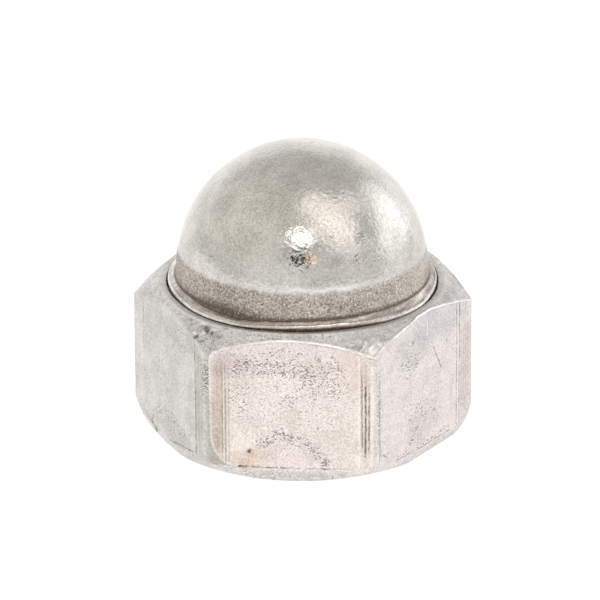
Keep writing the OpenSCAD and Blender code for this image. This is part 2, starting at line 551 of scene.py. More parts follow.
BACK_LOOK = FlatLook(
    tint=GREY_STEEL,
    fold_z=0.55,
    burr=((-4.9, 0.2), (-1.0, 0.8), (2.0, 0.3), (4.9, 0.9)),
    lines=each(
        DieLine,
        (-3.75, 0.05, 0.02, 0.9, 7.4, 0.45), (-3.55, 0.05, 0.01, 0.9, 7.0, 0.3),
        (3.8, 0.05, -0.02, 0.8, 7.4, -0.6), (3.98, 0.05, 0.02, 1.0, 6.9, 0.6)),
    scratches_and_highlights=each(
        ScratchOrHighlight,
        (((-2.6, 0.56), (-0.4, 0.54)), 0.05, 0.5), (((0.6, 0.55), (2.2, 0.56)), 0.05, 0.6),
        (((-1.8, 5.9), (-0.9, 4.4), (-0.7, 3.8)), 0.05, 0.35)),
    patches=each(
        PitPatch,
        (0.6, 6.4, 2.2, 0.9, 0.8), (0.0, 4.3, 4.2, 3.4, 0.25)),
    blots=each(
        Blot,
        (1.4, 6.1, 0.1, 0.03, 0.7), (-2.1, 2.3, 0.09, 0.02, 0.6),
        (2.6, 1.2, 0.4, 0.0, 0.0, 0.3)),
    step=0.16,
)

BACK_RIGHT_LOOK = FlatLook(
    tint=GREEN_STEEL,
    fold_z=0.5,
    burr=((-4.9, 0.7), (0.0, 0.2), (4.9, 0.4)),
    lines=each(
        DieLine,
        (-3.6, 0.05, 0.02, 0.8, 7.6, 0.5), (3.45, 0.05, 0.02, 0.8, 7.2, 0.4),
        (3.7, 0.05, -0.01, 0.8, 7.2, -0.4)),
    scratches_and_highlights=each(
        ScratchOrHighlight,
        (((-1.9, 0.5), (1.6, 0.52)), 0.05, 0.5), (((0.4, 7.6), (1.1, 6.6)), 0.05, -0.6)),
    patches=each(
        PitPatch,
        (-1.4, 2.2, 1.9, 0.9, 0.7), (0.0, 4.3, 4.2, 3.4, 0.2)),
    blots=each(
        Blot,
        (-0.4, 5.1, 0.09, 0.02, 0.6), (1.9, 3.3, 0.08, 0.02, 0.5)),
    step=0.16,
)

BACK_LEFT_LOOK = FlatLook(
    tint=PINK_STEEL,
    fold_z=0.6,
    burr=((-4.9, 0.5), (-2.0, 0.9), (3.0, 0.2), (4.9, 0.3)),
    lines=each(
        DieLine,
        (-3.9, 0.05, 0.02, 0.9, 7.0, 0.5), (-3.72, 0.05, 0.0, 0.9, 7.0, -0.3),
        (3.6, 0.05, 0.02, 0.9, 7.3, 0.5), (3.9, 0.05, 0.01, 0.9, 7.3, 0.3)),
    scratches_and_highlights=each(
        ScratchOrHighlight,
        (((-2.3, 0.61), (-0.9, 0.6)), 0.05, 0.7), (((-0.4, 0.6), (2.4, 0.58)), 0.05, 0.4),
        (((1.3, 5.4), (1.7, 4.6)), 0.05, 0.5)),
    patches=each(
        PitPatch,
        (0.3, 5.6, 1.6, 1.3, 0.7), (0.0, 4.3, 4.2, 3.4, 0.3)),
    blots=each(
        Blot,
        (-1.2, 6.6, 0.1, 0.03, 0.7), (2.1, 2.1, 0.08, 0.02, 0.6),
        (-2.4, 1.3, 0.35, 0.0, 0.0, 0.35)),
    step=0.16,
)

FLAT_LOOKS: dict[Side, FlatLook] = {
    Side.FRONT: FRONT_LOOK,
    Side.RIGHT: RIGHT_LOOK,
    Side.BACK_RIGHT: BACK_RIGHT_LOOK,
    Side.BACK: BACK_LOOK,
    Side.BACK_LEFT: BACK_LEFT_LOOK,
    Side.LEFT: LEFT_LOOK,
}


@dataclass(frozen=True)
class NutSizes:
    """Sizes of the nut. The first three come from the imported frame.

    shy is how far the skin stays inside the CAD's flats, which leaves room for ridges.
    """

    flat_r: float
    corner_r: float
    height: float
    edge_r: float = 0.5
    land_r: float = 8.165
    cone_slope: float = 36.0
    seat_r: float = 7.865
    seat_depth: float = 0.7
    bearing_r: float = 8.3
    foot_h: float = 2.4
    foot_over: float = 0.16
    mouth_r: float = 5.4
    crest_r: float = 4.25
    thread_root_r: float = 5.0
    pitch: float = 1.5
    countersink_slope: float = 30.0
    shy: float = 0.02
    lower_bevel: float = 0.13

    @classmethod
    def measured(cls, node: str) -> "NutSizes":
        """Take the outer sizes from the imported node."""
        low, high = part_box(node)
        return cls(flat_r=high.y / MM, corner_r=high.x / MM, height=(high.z - low.z) / MM)

    @property
    def edge_centre_r(self) -> float:
        """Distance of the upright edges' centres from the axis."""
        return (self.flat_r - self.edge_r) / math.cos(math.radians(30.0))

    @property
    def flat_half(self) -> float:
        """Half the width of a flat."""
        return self.edge_centre_r / 2.0

    @property
    def seat_z(self) -> float:
        """Height of the seat's floor."""
        return self.height - self.seat_depth

    @property
    def foot_tangent(self) -> float:
        """Radius at which the rounded foot of the corners stands upright."""
        return self.corner_r + self.foot_over

    @property
    def foot_arc(self) -> float:
        """Radius of the arc that rounds the foot of the corners."""
        reach = self.foot_tangent - self.bearing_r
        return (reach**2 + self.foot_h**2) / (2.0 * reach)

    def foot(self, z: np.ndarray) -> np.ndarray:
        """Radius that the rounded foot of the corners allows at a height."""
        rise = np.clip(self.foot_h - z, 0.0, self.foot_arc)
        return self.foot_tangent - self.foot_arc + np.sqrt(self.foot_arc**2 - rise**2)

    def foot_top(self, radius: np.ndarray) -> np.ndarray:
        """Height at which the rounded foot reaches a radius."""
        part = np.clip(radius - (self.foot_tangent - self.foot_arc), 0.0, self.foot_arc)
        return self.foot_h - np.sqrt(self.foot_arc**2 - part**2)


class HexBody:
    """The forged hexagon, its seat and its tapped bore, as one skin.

    Its outer columns run round the outline, flat by flat, with close columns at every die line.
    Azimuths are in degrees, and a table that ends in _AT gives those of the table after it.
    """

    CORNER_STEPS = 8
    FOOT_ROWS = 11
    FLAT_ROWS = 70
    CONE_ROWS = 24
    BORE_COLUMNS = 144
    BORE_ROWS = 140
    # Half the height of the fold above the bearing face.
    FOLD_HALF = 0.035
    # Distances from the middle of the thread's root, in pitches, where its root ends and its crest
    # starts.
    ROOT_END, CREST_START = 0.0625, 0.375
    CONE_COLOUR = (1.0, 0.98, 0.955)
    # Height of the cone's lower edge over the regular cone: the top was struck a little askew.
    LIFT_AT = (-180, -178, -150, -123, -118, -113, -105, -95, -87, -79, -72, -61, -59, -53, -47, -42,
               -34, -27, -20, -14, -3, 5, 30, 90, 150, 180)
    LIFT = (-0.1, -0.1, -0.05, 0.02, 0.03, -0.05, -0.05, -0.05, -0.06, -0.08, -0.06, -0.09,
            0.2, 0.14, 0.04, 0.01, 0.11, 0.13, 0.06, 0.04, 0.08, 0.05, 0.03, 0.0, -0.05, -0.1)
    # The same for the land round the seat.
    LAND_AT = (-180, -151, -135, -125, -110, -95, -72, -60, -46, -34, -17, 20, 90, 180)
    LAND = (0.0, -0.01, -0.07, -0.06, 0.0, 0.05, 0.05, 0.0, -0.11, -0.16, -0.2, -0.05, 0.0, 0.0)
    # Tone of the cone.
    TONE_AT = (-180, -145, -110, -98, -85, -65, -50, -30, -10, 90, 180)
    TONE = (0.78, 0.77, 0.79, 0.72, 0.66, 0.66, 0.71, 0.87, 0.69, 0.8, 0.78)
    # Bruises and nicks of the cone: azimuth, radius, half widths in degrees and millimetres, and
    # how dark, or where it's negative how bright a painted highlight is.
    BRUISES = (
        (-131.3, 8.58, 1.6, 0.1, 0.6), (-123.6, 8.54, 3.8, 0.24, 1.0), (-126.0, 8.42, 1.6, 0.09, 0.8),
        (-122.4, 8.68, 1.7, 0.1, 1.2), (-123.0, 9.21, 1.0, 0.08, 0.8), (-126.5, 9.06, 0.9, 0.1, 1.6),
        (-128.3, 8.93, 1.0, 0.08, -1.1), (-130.6, 8.6, 1.0, 0.08, -1.3), (-125.0, 8.74, 0.8, 0.09, -1.2),
        (-127.7, 8.31, 1.0, 0.08, -1.2), (-121.6, 8.46, 1.3, 0.07, -1.4), (-122.4, 8.08, 1.3, 0.07, -0.9),
        (-118.0, 8.75, 1.5, 0.07, 0.6), (-134.5, 8.34, 1.6, 0.08, 0.5), (-60.4, 9.48, 2.4, 0.26, -1.0),
        (-60.3, 9.16, 1.4, 0.07, -0.9), (-57.2, 9.3, 0.6, 0.2, -0.9), (-54.9, 9.24, 1.2, 0.07, -0.7),
        (-61.5, 8.85, 2.6, 0.1, -0.4), (-64.5, 8.7, 2.0, 0.07, -0.35), (-60.0, 9.3, 0.9, 0.05, 0.6),
        (-65.5, 8.95, 2.4, 0.07, 0.45), (-55.6, 9.02, 1.6, 0.07, 0.65), (-70.0, 8.62, 2.2, 0.06, 0.35),
        (-147.0, 8.75, 2.0, 0.07, 0.4), (-139.5, 8.95, 1.3, 0.07, 0.45))
    # Burred rows under the crease: how far under it, how far the burr stands out, and how dark
    # and how bright it is there, in painted shade under the burr and a painted highlight on its edge.
    BURR_ROWS = ((0.085, 0.0, 0.9, 0.0), (0.05, 0.003, 0.6, 0.1), (0.02, 0.008, 0.0, 0.8))
    # Burred rows at the start of the cone: how far in from the flat, and how bright and dark, in a
    # painted highlight at the crest and painted shade just behind it.
    CREST_ROWS = ((0.035, 0.6, 0.1), (0.08, 0.0, 0.6))
    # Rows of the land next to the seat: how far outside it and how far down, and how dark all
    # round and at the front, in painted shade at the gap under the cap.
    LIP_ROWS = ((0.19, 0.0, 0.0, 0.55), (0.08, 0.0, 0.0, 0.95), (0.012, 0.02, 0.1, 0.9))

    def __init__(self, sizes: NutSizes, looks: dict[Side, FlatLook]) -> None:
        """Lay out the columns round the outline, and work out where their rows turn.

        Args:
            sizes: Sizes of the nut.
            looks: How each flat looks.
        """
        self.sizes = sizes
        self.looks = looks
        self.lay_columns()
        self.radius = np.hypot(self.outline[:, 0], self.outline[:, 1])
        self.azimuth = np.degrees(np.arctan2(self.outline[:, 1], self.outline[:, 0]))
        self.unit = self.outline / self.radius[:, None]
        self.spots = np.column_stack([self.outline, np.zeros(len(self.u))])
        self.corner = smooth_step(sizes.flat_half - 0.05, sizes.flat_half + 0.12, np.abs(self.u))
        # How much less the foot of a corner is rounded: the two side corners were struck less.
        self.full = 0.42 * bell(self.azimuth + 8.0, 26.0) + 0.1 * bell(180.0 - np.abs(self.azimuth), 26.0)
        self.fall = math.tan(math.radians(sizes.cone_slope))
        self.lift = np.interp(self.azimuth, self.LIFT_AT, self.LIFT)
        self.land = np.interp(self.azimuth, self.LAND_AT, self.LAND)
        self.crease = self.crease_height()
        self.fold = self.fold_height()
        self.burr = self.burr_share()
        tone = np.interp(self.azimuth, self.TONE_AT, self.TONE)
        self.cone_tint = tone[:, None] * np.array(self.CONE_COLOUR)
        # How far the land and the foot of the cone are brightened: painted light against the shade next
        # to the cap, most towards the left and the right.
        self.painted_lip_light = 0.2 + 0.75 * bell(self.azimuth + 130.0, 24.0) + 0.7 * bell(self.azimuth + 30.0, 18.0)

    def lay_columns(self) -> None:
        """Lay the columns along each flat in turn, and round the corner that follows it."""
        sizes = self.sizes
        points, normals, across, owner, sheet = [], [], [], [], []
        inset = sizes.flat_r - sizes.shy
        arc = sizes.edge_r * math.radians(60.0) / self.CORNER_STEPS
        for index, side in enumerate(Side):
            turn = math.radians(side.value)
            normal = np.array([math.cos(turn), math.sin(turn)])
            along = np.array([-normal[1], normal[0]])
            for u in self.flat_columns(self.looks[side]):
                points.append(normal * inset + along * u)
                normals.append(normal)
                across.append(u)
                owner.append(index)
                sheet.append(index * SHEET_STEP + u)
            centre_turn = turn + math.radians(30.0)
            centre = sizes.edge_centre_r * np.array([math.cos(centre_turn), math.sin(centre_turn)])
            for step in range(1, self.CORNER_STEPS):
                angle = turn + math.radians(60.0) * step / self.CORNER_STEPS
                spoke = np.array([math.cos(angle), math.sin(angle)])
                points.append(centre + (sizes.edge_r - sizes.shy) * spoke)
                normals.append(spoke)
                past, u = 0, sizes.flat_half + arc * step
                if 2 * step > self.CORNER_STEPS:
                    past, u = 1, -sizes.flat_half - arc * (self.CORNER_STEPS - step)
                across.append(u)
                owner.append((index + past) % len(Side))
                sheet.append((index + past) * SHEET_STEP + u)
        self.outline = np.array(points)
        self.normals = np.array(normals)
        self.u = np.array(across)
        self.owner = np.array(owner)
        self.sheet = np.array(sheet)

    def flat_columns(self, look: FlatLook) -> list[float]:
        """Places of the columns across one flat, close together at the die lines."""
        half = self.sizes.flat_half
        regular = np.linspace(-half, half, int(round(2.0 * half / look.step)) + 1)
        extra = [line.u + part * line.width for line in look.lines for part in (-1.1, -0.5, 0.0, 0.5, 1.1)]
        extra = [u for u in extra if -half + 0.02 < u < half - 0.02]
        places = sorted({round(float(u), 4) for u in extra})
        kept = [u for u in regular if all(abs(u - place) > 0.045 for place in places)]
        kept += [-half] if -half not in kept else []
        merged = sorted({round(float(u), 4) for u in kept} | set(places))
        thinned = [merged[0]]
        for u in merged[1:]:
            if u - thinned[-1] > 0.011:
                thinned.append(u)
        return thinned

    def crease_height(self) -> np.ndarray:
        """Height at each column of the edge between the flats and the cone."""
        sizes = self.sizes
        crease = sizes.height - (self.radius - sizes.land_r) * self.fall + self.lift
        return crease + 0.02 * value_noise(self.spots, 0.5, 11) + 0.012 * value_noise(self.spots, 0.2, 12)

    def fold_height(self) -> np.ndarray:
        """Height at each column of the fold above the bearing face."""
        heights = np.array([self.looks[side].fold_z for side in Side])[self.owner]
        fold = np.maximum(heights, self.sizes.foot_top(self.radius) + 0.02)
        return fold + 0.03 * value_noise(self.spots, 0.9, 14) * (1.0 - self.corner)

    def burr_share(self) -> np.ndarray:
        """How far the top crease of each column has turned up a burr, from 0 to about 1."""
        amount = np.zeros(len(self.u))
        for index, side in enumerate(Side):
            here = self.owner == index
            where, how = zip(*self.looks[side].burr)
            amount[here] = np.interp(self.u[here], where, how)
        ragged = 0.8 + 0.8 * value_noise(self.spots, 0.42, 41) + 0.6 * value_noise(self.spots, 0.17, 42)
        return amount * np.clip(ragged, 0.0, 1.3)

    def relief(self, z: np.ndarray) -> tuple[np.ndarray, dict[Mark, np.ndarray]]:
        """Depth of the surface below the flat, and its marks, for one row.

        Args:
            z: Height of each column's point in the row.

        Returns:
            The depth at each column, and what the row carries for the materials.
        """
        depth = np.zeros(len(z))
        marks = {mark: np.zeros(len(z)) for mark in Mark}
        for index, side in enumerate(Side):
            here = self.owner == index
            look, u, height = self.looks[side], self.u[here], z[here]
            d = 0.035 * self.outside(look, u, height)
            for line in look.lines:
                ends = smooth_step(line.low - 0.25, line.low + 0.35, height)
                ends = ends * (1.0 - smooth_step(line.high - 0.35, line.high + 0.25, height))
                where = np.full(len(u), line.u * 7.0 + index * 31.0)
                spot = np.stack([where, np.zeros(len(u)), height], axis=1)
                ragged = 0.72 + 0.45 * value_noise(spot, 0.55, 3) + 0.2 * value_noise(spot, 0.16, 4)
                amount = bell(u - line.u, 0.62 * line.width) * ends * np.clip(ragged, 0.0, 1.25)
                d += line.depth * amount
                kind = Mark.DARK if line.tone > 0.0 else Mark.BRIGHT
                marks[kind][here] += abs(line.tone) * amount
            for patch in look.patches:
                far = np.hypot((u - patch.u) / patch.half_u, (height - patch.z) / patch.half_z)
                pitted = patch.amount * (1.0 - smooth_step(0.55, 1.15, far))
                marks[Mark.PITTED][here] = np.maximum(marks[Mark.PITTED][here], pitted)
            for blot in look.blots:
                far = np.hypot(u - blot.u, height - blot.z)
                d += blot.depth * bell(far, max(0.8 * blot.radius, 0.07))
                marks[Mark.STAIN][here] += blot.stain * bell(far, blot.radius)
            depth[here] = d
        return depth, marks

    @staticmethod
    def outside(look: FlatLook, u: np.ndarray, z: np.ndarray) -> np.ndarray:
        """How far each place of a flat lies outside its struck panel.

        Args:
            look: How the flat looks.
            u: Places along the flat.
            z: Their heights.

        Returns:
            A number from 0, inside the panel, to 1 for each place.
        """
        if not look.border:
            return np.zeros(len(u))
        heights, places = zip(*look.border)
        beyond = np.interp(z, heights, places) - u
        beyond = np.where(z < heights[0], 1.0, beyond)
        return smooth_step(0.0, 0.09, beyond)

    def point_row(self, z: np.ndarray, depth: np.ndarray) -> np.ndarray:
        """Points of one row of the outer wall, kept inside the rounded foot.

        Args:
            z: Height of each column's point.
            depth: How far each point is pushed in.

        Returns:
            The points, in millimetres.
        """
        sizes = self.sizes
        flat = self.outline - self.normals * depth[:, None]
        radius = np.hypot(flat[:, 0], flat[:, 1])
        allowed = sizes.foot(z) * (1.0 - self.full) + sizes.corner_r * self.full - 0.5 * sizes.shy
        scale = np.minimum(1.0, allowed / radius)
        return np.column_stack([flat * scale[:, None], z])

    def tint_of(self, z: np.ndarray) -> np.ndarray:
        """Colour tint of one row: its flat's, with the flat's shades, blended over the rounded corners.

        Args:
            z: Height of each column's point in the row.

        Returns:
            One colour for each column.
        """
        tints = np.array([self.looks[side].tint for side in Side])
        own = tints[self.owner]
        for index, side in enumerate(Side):
            here = self.owner == index
            look, u, height = self.looks[side], self.u[here], z[here]
            panel = own[here]
            for shade in look.shades:
                far = np.hypot((u - shade.u) / shade.half_u, (height - shade.z) / shade.half_z)
                part = (1.0 - smooth_step(0.6, 1.2, far))[:, None]
                panel = panel * (1.0 - part + part * np.array(shade.colour))
            part = self.outside(look, u, height)[:, None]
            below = smooth_step(-0.1, 0.05, look.fold_z - height)[:, None]
            rim = np.array(look.rim_tint) * (1.0 - below) + np.array(look.foot_tint) * below
            own[here] = panel * (1.0 - part) + rim * part
        # A panel with a border ends in its rim's tint, next to the flat before it.
        ends = np.array([0.5 * (np.array(self.looks[side].tint) + np.array(self.looks[side].rim_tint))
                         if self.looks[side].border else self.looks[side].tint for side in Side])
        other = np.where((self.u > 0.0)[:, None], ends[(self.owner + 1) % len(Side)], tints[self.owner - 1])
        half = self.sizes.flat_half
        part = 0.5 * smooth_step(half - 0.1, half + 0.26, np.abs(self.u))[:, None]
        return own * (1.0 - part) + other * part

    def add_row(self, rings: Rings, z: np.ndarray, depth: np.ndarray, marks: dict[Mark, np.ndarray]) -> None:
        """Put one row of the outer wall on a stack, with its tint."""
        rings.add(self.point_row(z, depth), self.tint_of(z), marks)

    def add_foot(self, rings: Rings) -> None:
        """Put the rows from the bearing face over the bulged foot to the fold on a stack."""
        sizes, count = self.sizes, len(self.u)
        worn = {Mark.GRIME: np.full(count, 0.55), Mark.PITTED: np.full(count, 0.4)}
        tint = self.tint_of(np.zeros(count))
        for inset, z in ((0.03, 0.0), (0.0, 0.03)):
            rings.add(np.column_stack([self.unit * (sizes.bearing_r - inset), np.full(count, z)]), tint, worn)
        for step in range(1, self.FOOT_ROWS):
            part = step / self.FOOT_ROWS
            z = self.fold * part**1.35
            depth, marks = self.relief(z)
            depth = depth + sizes.lower_bevel * (1.0 - z / self.fold) * (1.0 - self.corner)
            marks[Mark.GRIME] = 0.12 * (1.0 - smooth_step(0.3, 1.0, z / self.fold))
            marks[Mark.PITTED] = np.maximum(marks[Mark.PITTED], 0.2)
            self.add_row(rings, z, depth, marks)
        for shift, pushed in ((-self.FOLD_HALF, 0.05 * sizes.lower_bevel), (0.0, 0.0), (self.FOLD_HALF, 0.0)):
            z = self.fold + shift
            depth, marks = self.relief(z)
            self.add_row(rings, z, depth + pushed, marks)

    def add_flats(self, rings: Rings) -> None:
        """Put the rows of the flats, from the fold to just below the crease, on a stack."""
        bottom, top = self.fold + self.FOLD_HALF, self.crease - 0.1
        for step in range(1, self.FLAT_ROWS):
            z = bottom + (top - bottom) * step / (self.FLAT_ROWS - 1.0)
            depth, marks = self.relief(z)
            spot = np.column_stack([self.outline, z])
            depth = depth + 0.01 * (1.0 + value_noise(spot, 1.6, 21)) * (1.0 - self.corner)
            depth = depth + 0.004 * (1.0 + value_noise(spot, 0.45, 22)) * (1.0 - self.corner)
            self.add_row(rings, z, depth, marks)

    def add_crease(self, rings: Rings) -> None:
        """Put the crease, with the burr on both sides of it, on a stack, with a painted highlight on the
        crest and painted shade beside it.
        """
        ragged = 0.5 + 1.1 * value_noise(self.spots, 0.22, 15) + 0.6 * value_noise(self.spots, 0.1, 16)
        ragged = np.clip(ragged, 0.0, 1.0)
        for below, out, dark, bright in self.BURR_ROWS:
            z = self.crease - below
            depth, marks = self.relief(z)
            marks[Mark.BRIGHT] += self.burr * bright
            marks[Mark.DARK] += self.burr * dark * ragged
            self.add_row(rings, z, depth * 0.5 - out * self.burr, marks)
        tint = self.tint_of(self.crease)
        crest = self.outline - self.normals * 0.012
        raised = self.crease + 0.035 * self.burr
        rings.add(np.column_stack([crest, raised]), tint, {Mark.BRIGHT: 1.6 * self.burr * (0.4 + ragged)})
        for inset, bright, dark in self.CREST_ROWS:
            crest = self.outline - self.normals * inset
            rings.add(np.column_stack([crest, raised + inset * self.fall]), tint,
                      {Mark.BRIGHT: bright * self.burr, Mark.DARK: dark * self.burr * (1.0 - ragged)})

    def add_cone(self, rings: Rings) -> None:
        """Put the cone's rows, from the crease in to the land, on a stack."""
        sizes = self.sizes
        crest = rings.rows[-1]
        start = np.hypot(crest[:, 0], crest[:, 1])
        for step in range(1, self.CONE_ROWS + 1):
            part = step / self.CONE_ROWS
            radius = start + (sizes.land_r - start) * part**0.8
            z = sizes.height - (radius - sizes.land_r) * self.fall
            kept = (radius - sizes.land_r) / (self.radius - sizes.land_r)
            z = z + self.lift * kept**0.7 + self.land * (1.0 - kept)
            spot = np.column_stack([self.unit * radius[:, None], z])
            z = z + 0.012 * value_noise(spot, 0.6, 31) * min(1.0, 2.0 * (1.0 - part) + 0.3)
            round_spot = np.column_stack([self.azimuth * 0.05, radius * 2.2, np.zeros(len(z))])
            patchy = 0.5 + 0.9 * value_noise(round_spot, 0.9, 32) + 0.5 * value_noise(spot, 0.35, 33)
            patchy = np.clip(patchy, 0.0, 1.0)
            dark, bright = self.cone_marks(radius)
            # Random worn patches, plus painted light on the last rings next to the land.
            worn = np.clip(value_noise(spot, 0.28, 36) + 0.5 * value_noise(spot, 0.13, 37) - 0.35, 0.0, 1.0)
            worn = worn + self.painted_lip_light * (1.0 - smooth_step(0.0, 0.3, kept))
            marks = {Mark.GRIME: 0.04 + 0.34 * patchy,
                     Mark.DARK: 1.6 * dark * (0.6 + 0.4 * patchy),
                     Mark.BRIGHT: bright * (0.5 + 0.5 * patchy) + 0.35 * worn,
                     Mark.PITTED: 0.12 + 0.25 * patchy}
            rings.add(np.column_stack([self.unit * radius[:, None], z]), self.cone_tint, marks)

    def cone_marks(self, radius: np.ndarray) -> tuple[np.ndarray, np.ndarray]:
        """Bruises and nicks of the cone, and its painted highlights, for one row.

        Args:
            radius: Radius of each column's point in the row.

        Returns:
            How dark the bruises make each point, and how bright the painted highlights make it.
        """
        dark, bright = np.zeros(len(radius)), np.zeros(len(radius))
        for azimuth, place, half_turn, half, amount in self.BRUISES:
            mark = abs(amount) * bell(self.azimuth - azimuth, half_turn) * bell(radius - place, half)
            dark, bright = (dark + mark, bright) if amount > 0.0 else (dark, bright + mark)
        return dark, bright

    def lip_width(self) -> np.ndarray:
        """How far the land overhangs the seat at each column, which narrows the gap that shows."""
        lip = 0.085 - 0.05 * bell(self.azimuth + 108.0, 14.0) + 0.045 * bell(self.azimuth + 30.0, 24.0)
        lip = lip + 0.03 * bell(self.azimuth + 150.0, 20.0)
        lip = lip + 0.016 * value_noise(self.spots, 0.6, 34) + 0.016 * value_noise(self.spots, 0.2, 35)
        return np.clip(lip, 0.02, 0.125)

    def add_seat(self, rings: Rings) -> None:
        """Put the land, the side of the seat and its floor, as far as the bore, on a stack, with painted
        light on the land and painted shade at the gap and in the seat.
        """
        sizes, count = self.sizes, len(self.u)
        tint = self.cone_tint
        top = sizes.height + self.land
        front = np.maximum(bell(self.azimuth + 85.0, 20.0), bell(self.azimuth + 108.0, 11.0))
        # The land's outer ring is brightened with painted light.
        rings.add(np.column_stack([self.unit * (sizes.land_r - 0.08), top + 0.005]), tint,
                  {Mark.GRIME: np.full(count, 0.15), Mark.BRIGHT: 0.35 * self.painted_lip_light})
        lip = self.unit * (sizes.seat_r - self.lip_width())[:, None]
        # The land's edge at the gap is darkened with painted shade, most at the front, where it is also
        # rust-stained.
        for out, drop, plain, dark in self.LIP_ROWS:
            marks = {Mark.GRIME: np.full(count, 0.15), Mark.DARK: plain + dark * front,
                     Mark.STAIN: 0.25 * front}
            rings.add(np.column_stack([lip + out * self.unit, top - drop]), tint, marks)
        # The seat's side and floor, under the cap, are dark and dull: painted shade of the recess.
        recess_shade = {Mark.GRIME: np.full(count, 0.9), Mark.DARK: np.full(count, 0.95)}
        rings.add(np.column_stack([lip, top - 0.06]), tint, recess_shade)
        for part in (0.25, 0.5, 1.0):
            z = (top - 0.06) * (1.0 - part) + sizes.seat_z * part
            rings.add(np.column_stack([self.unit * sizes.seat_r, z]), tint, recess_shade)
        for radius in (6.9, 6.1, sizes.mouth_r):
            rings.add(np.column_stack([self.unit * radius, np.full(count, sizes.seat_z)]), tint, recess_shade)

    def outer(self) -> Rings:
        """The outer wall, the cone, the land, and the seat with its floor."""
        rings = Rings(sheet=self.sheet)
        for add in (self.add_foot, self.add_flats, self.add_crease, self.add_cone, self.add_seat):
            add(rings)
        return rings

    def bore(self) -> Rings:
        """The seat's countersink, the tapped bore and the lower countersink, from the top down."""
        sizes = self.sizes
        rings = Rings()
        turn = np.linspace(0.0, 2.0 * math.pi, self.BORE_COLUMNS, endpoint=False)
        fall = math.tan(math.radians(sizes.countersink_slope))
        tint = np.array(GREY_STEEL) * 0.9
        for step in range(self.BORE_ROWS + 1):
            z = sizes.seat_z * (1.0 - step / self.BORE_ROWS)
            phase = np.mod(z / sizes.pitch - turn / (2.0 * math.pi), 1.0)
            side = np.abs(phase - 0.5)
            rise = np.clip((self.CREST_START - side) / (self.CREST_START - self.ROOT_END), 0.0, 1.0)
            radius = sizes.crest_r + (sizes.thread_root_r - sizes.crest_r) * rise
            cone = sizes.mouth_r - np.minimum(z, sizes.seat_z - z) / fall
            in_thread = (radius > cone).astype(float)
            radius = np.maximum(radius, cone)
            points = np.column_stack([radius * np.cos(turn), radius * np.sin(turn), np.full(len(turn), z)])
            # Darker and duller towards the roots of the thread, and a painted highlight on its crests.
            marks = {Mark.GRIME: 0.25 + 0.45 * rise * in_thread, Mark.BRIGHT: 0.35 * (rise < 0.05)}
            rings.add(points, tint, marks)
        return rings

    def build(self) -> bpy.types.Object:
        """Make the nut's object.

        Returns:
            The object, a closed mesh.
        """
        skin = Skin()
        outer = self.outer()
        rim, floor = skin.stack(outer)
        bore = self.bore()
        bore_top, bore_foot = skin.stack(bore)
        skin.join(floor, outer.count(), bore_top, bore.count())
        skin.join(bore_foot, bore.count(), rim, outer.count())
        return skin.build("forged_nut")


# ---------------------------------------------------------------- the drawn cap


@dataclass(frozen=True)
class CapSizes:
    """Sizes of the cap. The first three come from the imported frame.

    shy is how far the skin stays inside the CAD's dome and rim.
    """

    flange_r: float
    foot_z: float
    top_z: float
    dome_r: float = 7.225
    wall: float = 0.9
    rim_z: float = 9.2
    rim_bevel: float = 0.06
    flange_slope: float = 26.0
    flare_w: float = 0.08
    flare_h: float = 0.3
    mouth_bevel: float = 0.25
    shy: float = 0.012

    @classmethod
    def measured(cls, node: str) -> "CapSizes":
        """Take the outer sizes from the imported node."""
        low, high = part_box(node)
        return cls(flange_r=high.x / MM, foot_z=low.z / MM, top_z=high.z / MM)

    @property
    def dome_z(self) -> float:
        """Height of the dome's centre."""
        return self.top_z - self.dome_r

    @property
    def inner_r(self) -> float:
        """Radius of the hollow."""
        return self.dome_r - self.wall

    @property
    def root_r(self) -> float:
        """Radius of the skirt's foot."""
        return self.dome_r + self.flare_w

    @property
    def root_z(self) -> float:
        """Height of the skirt's foot."""
        fall = math.tan(math.radians(self.flange_slope))
        return self.rim_z + (self.flange_r - self.rim_bevel - self.root_r) * fall


@dataclass(frozen=True)
class Band:
    """One ring of the cap's section, with what it carries for the materials."""

    r: float
    z: float
    dark: float = 0.0
    bright: float = 0.0
    grime: float = 0.0
    pitted: float = 0.0


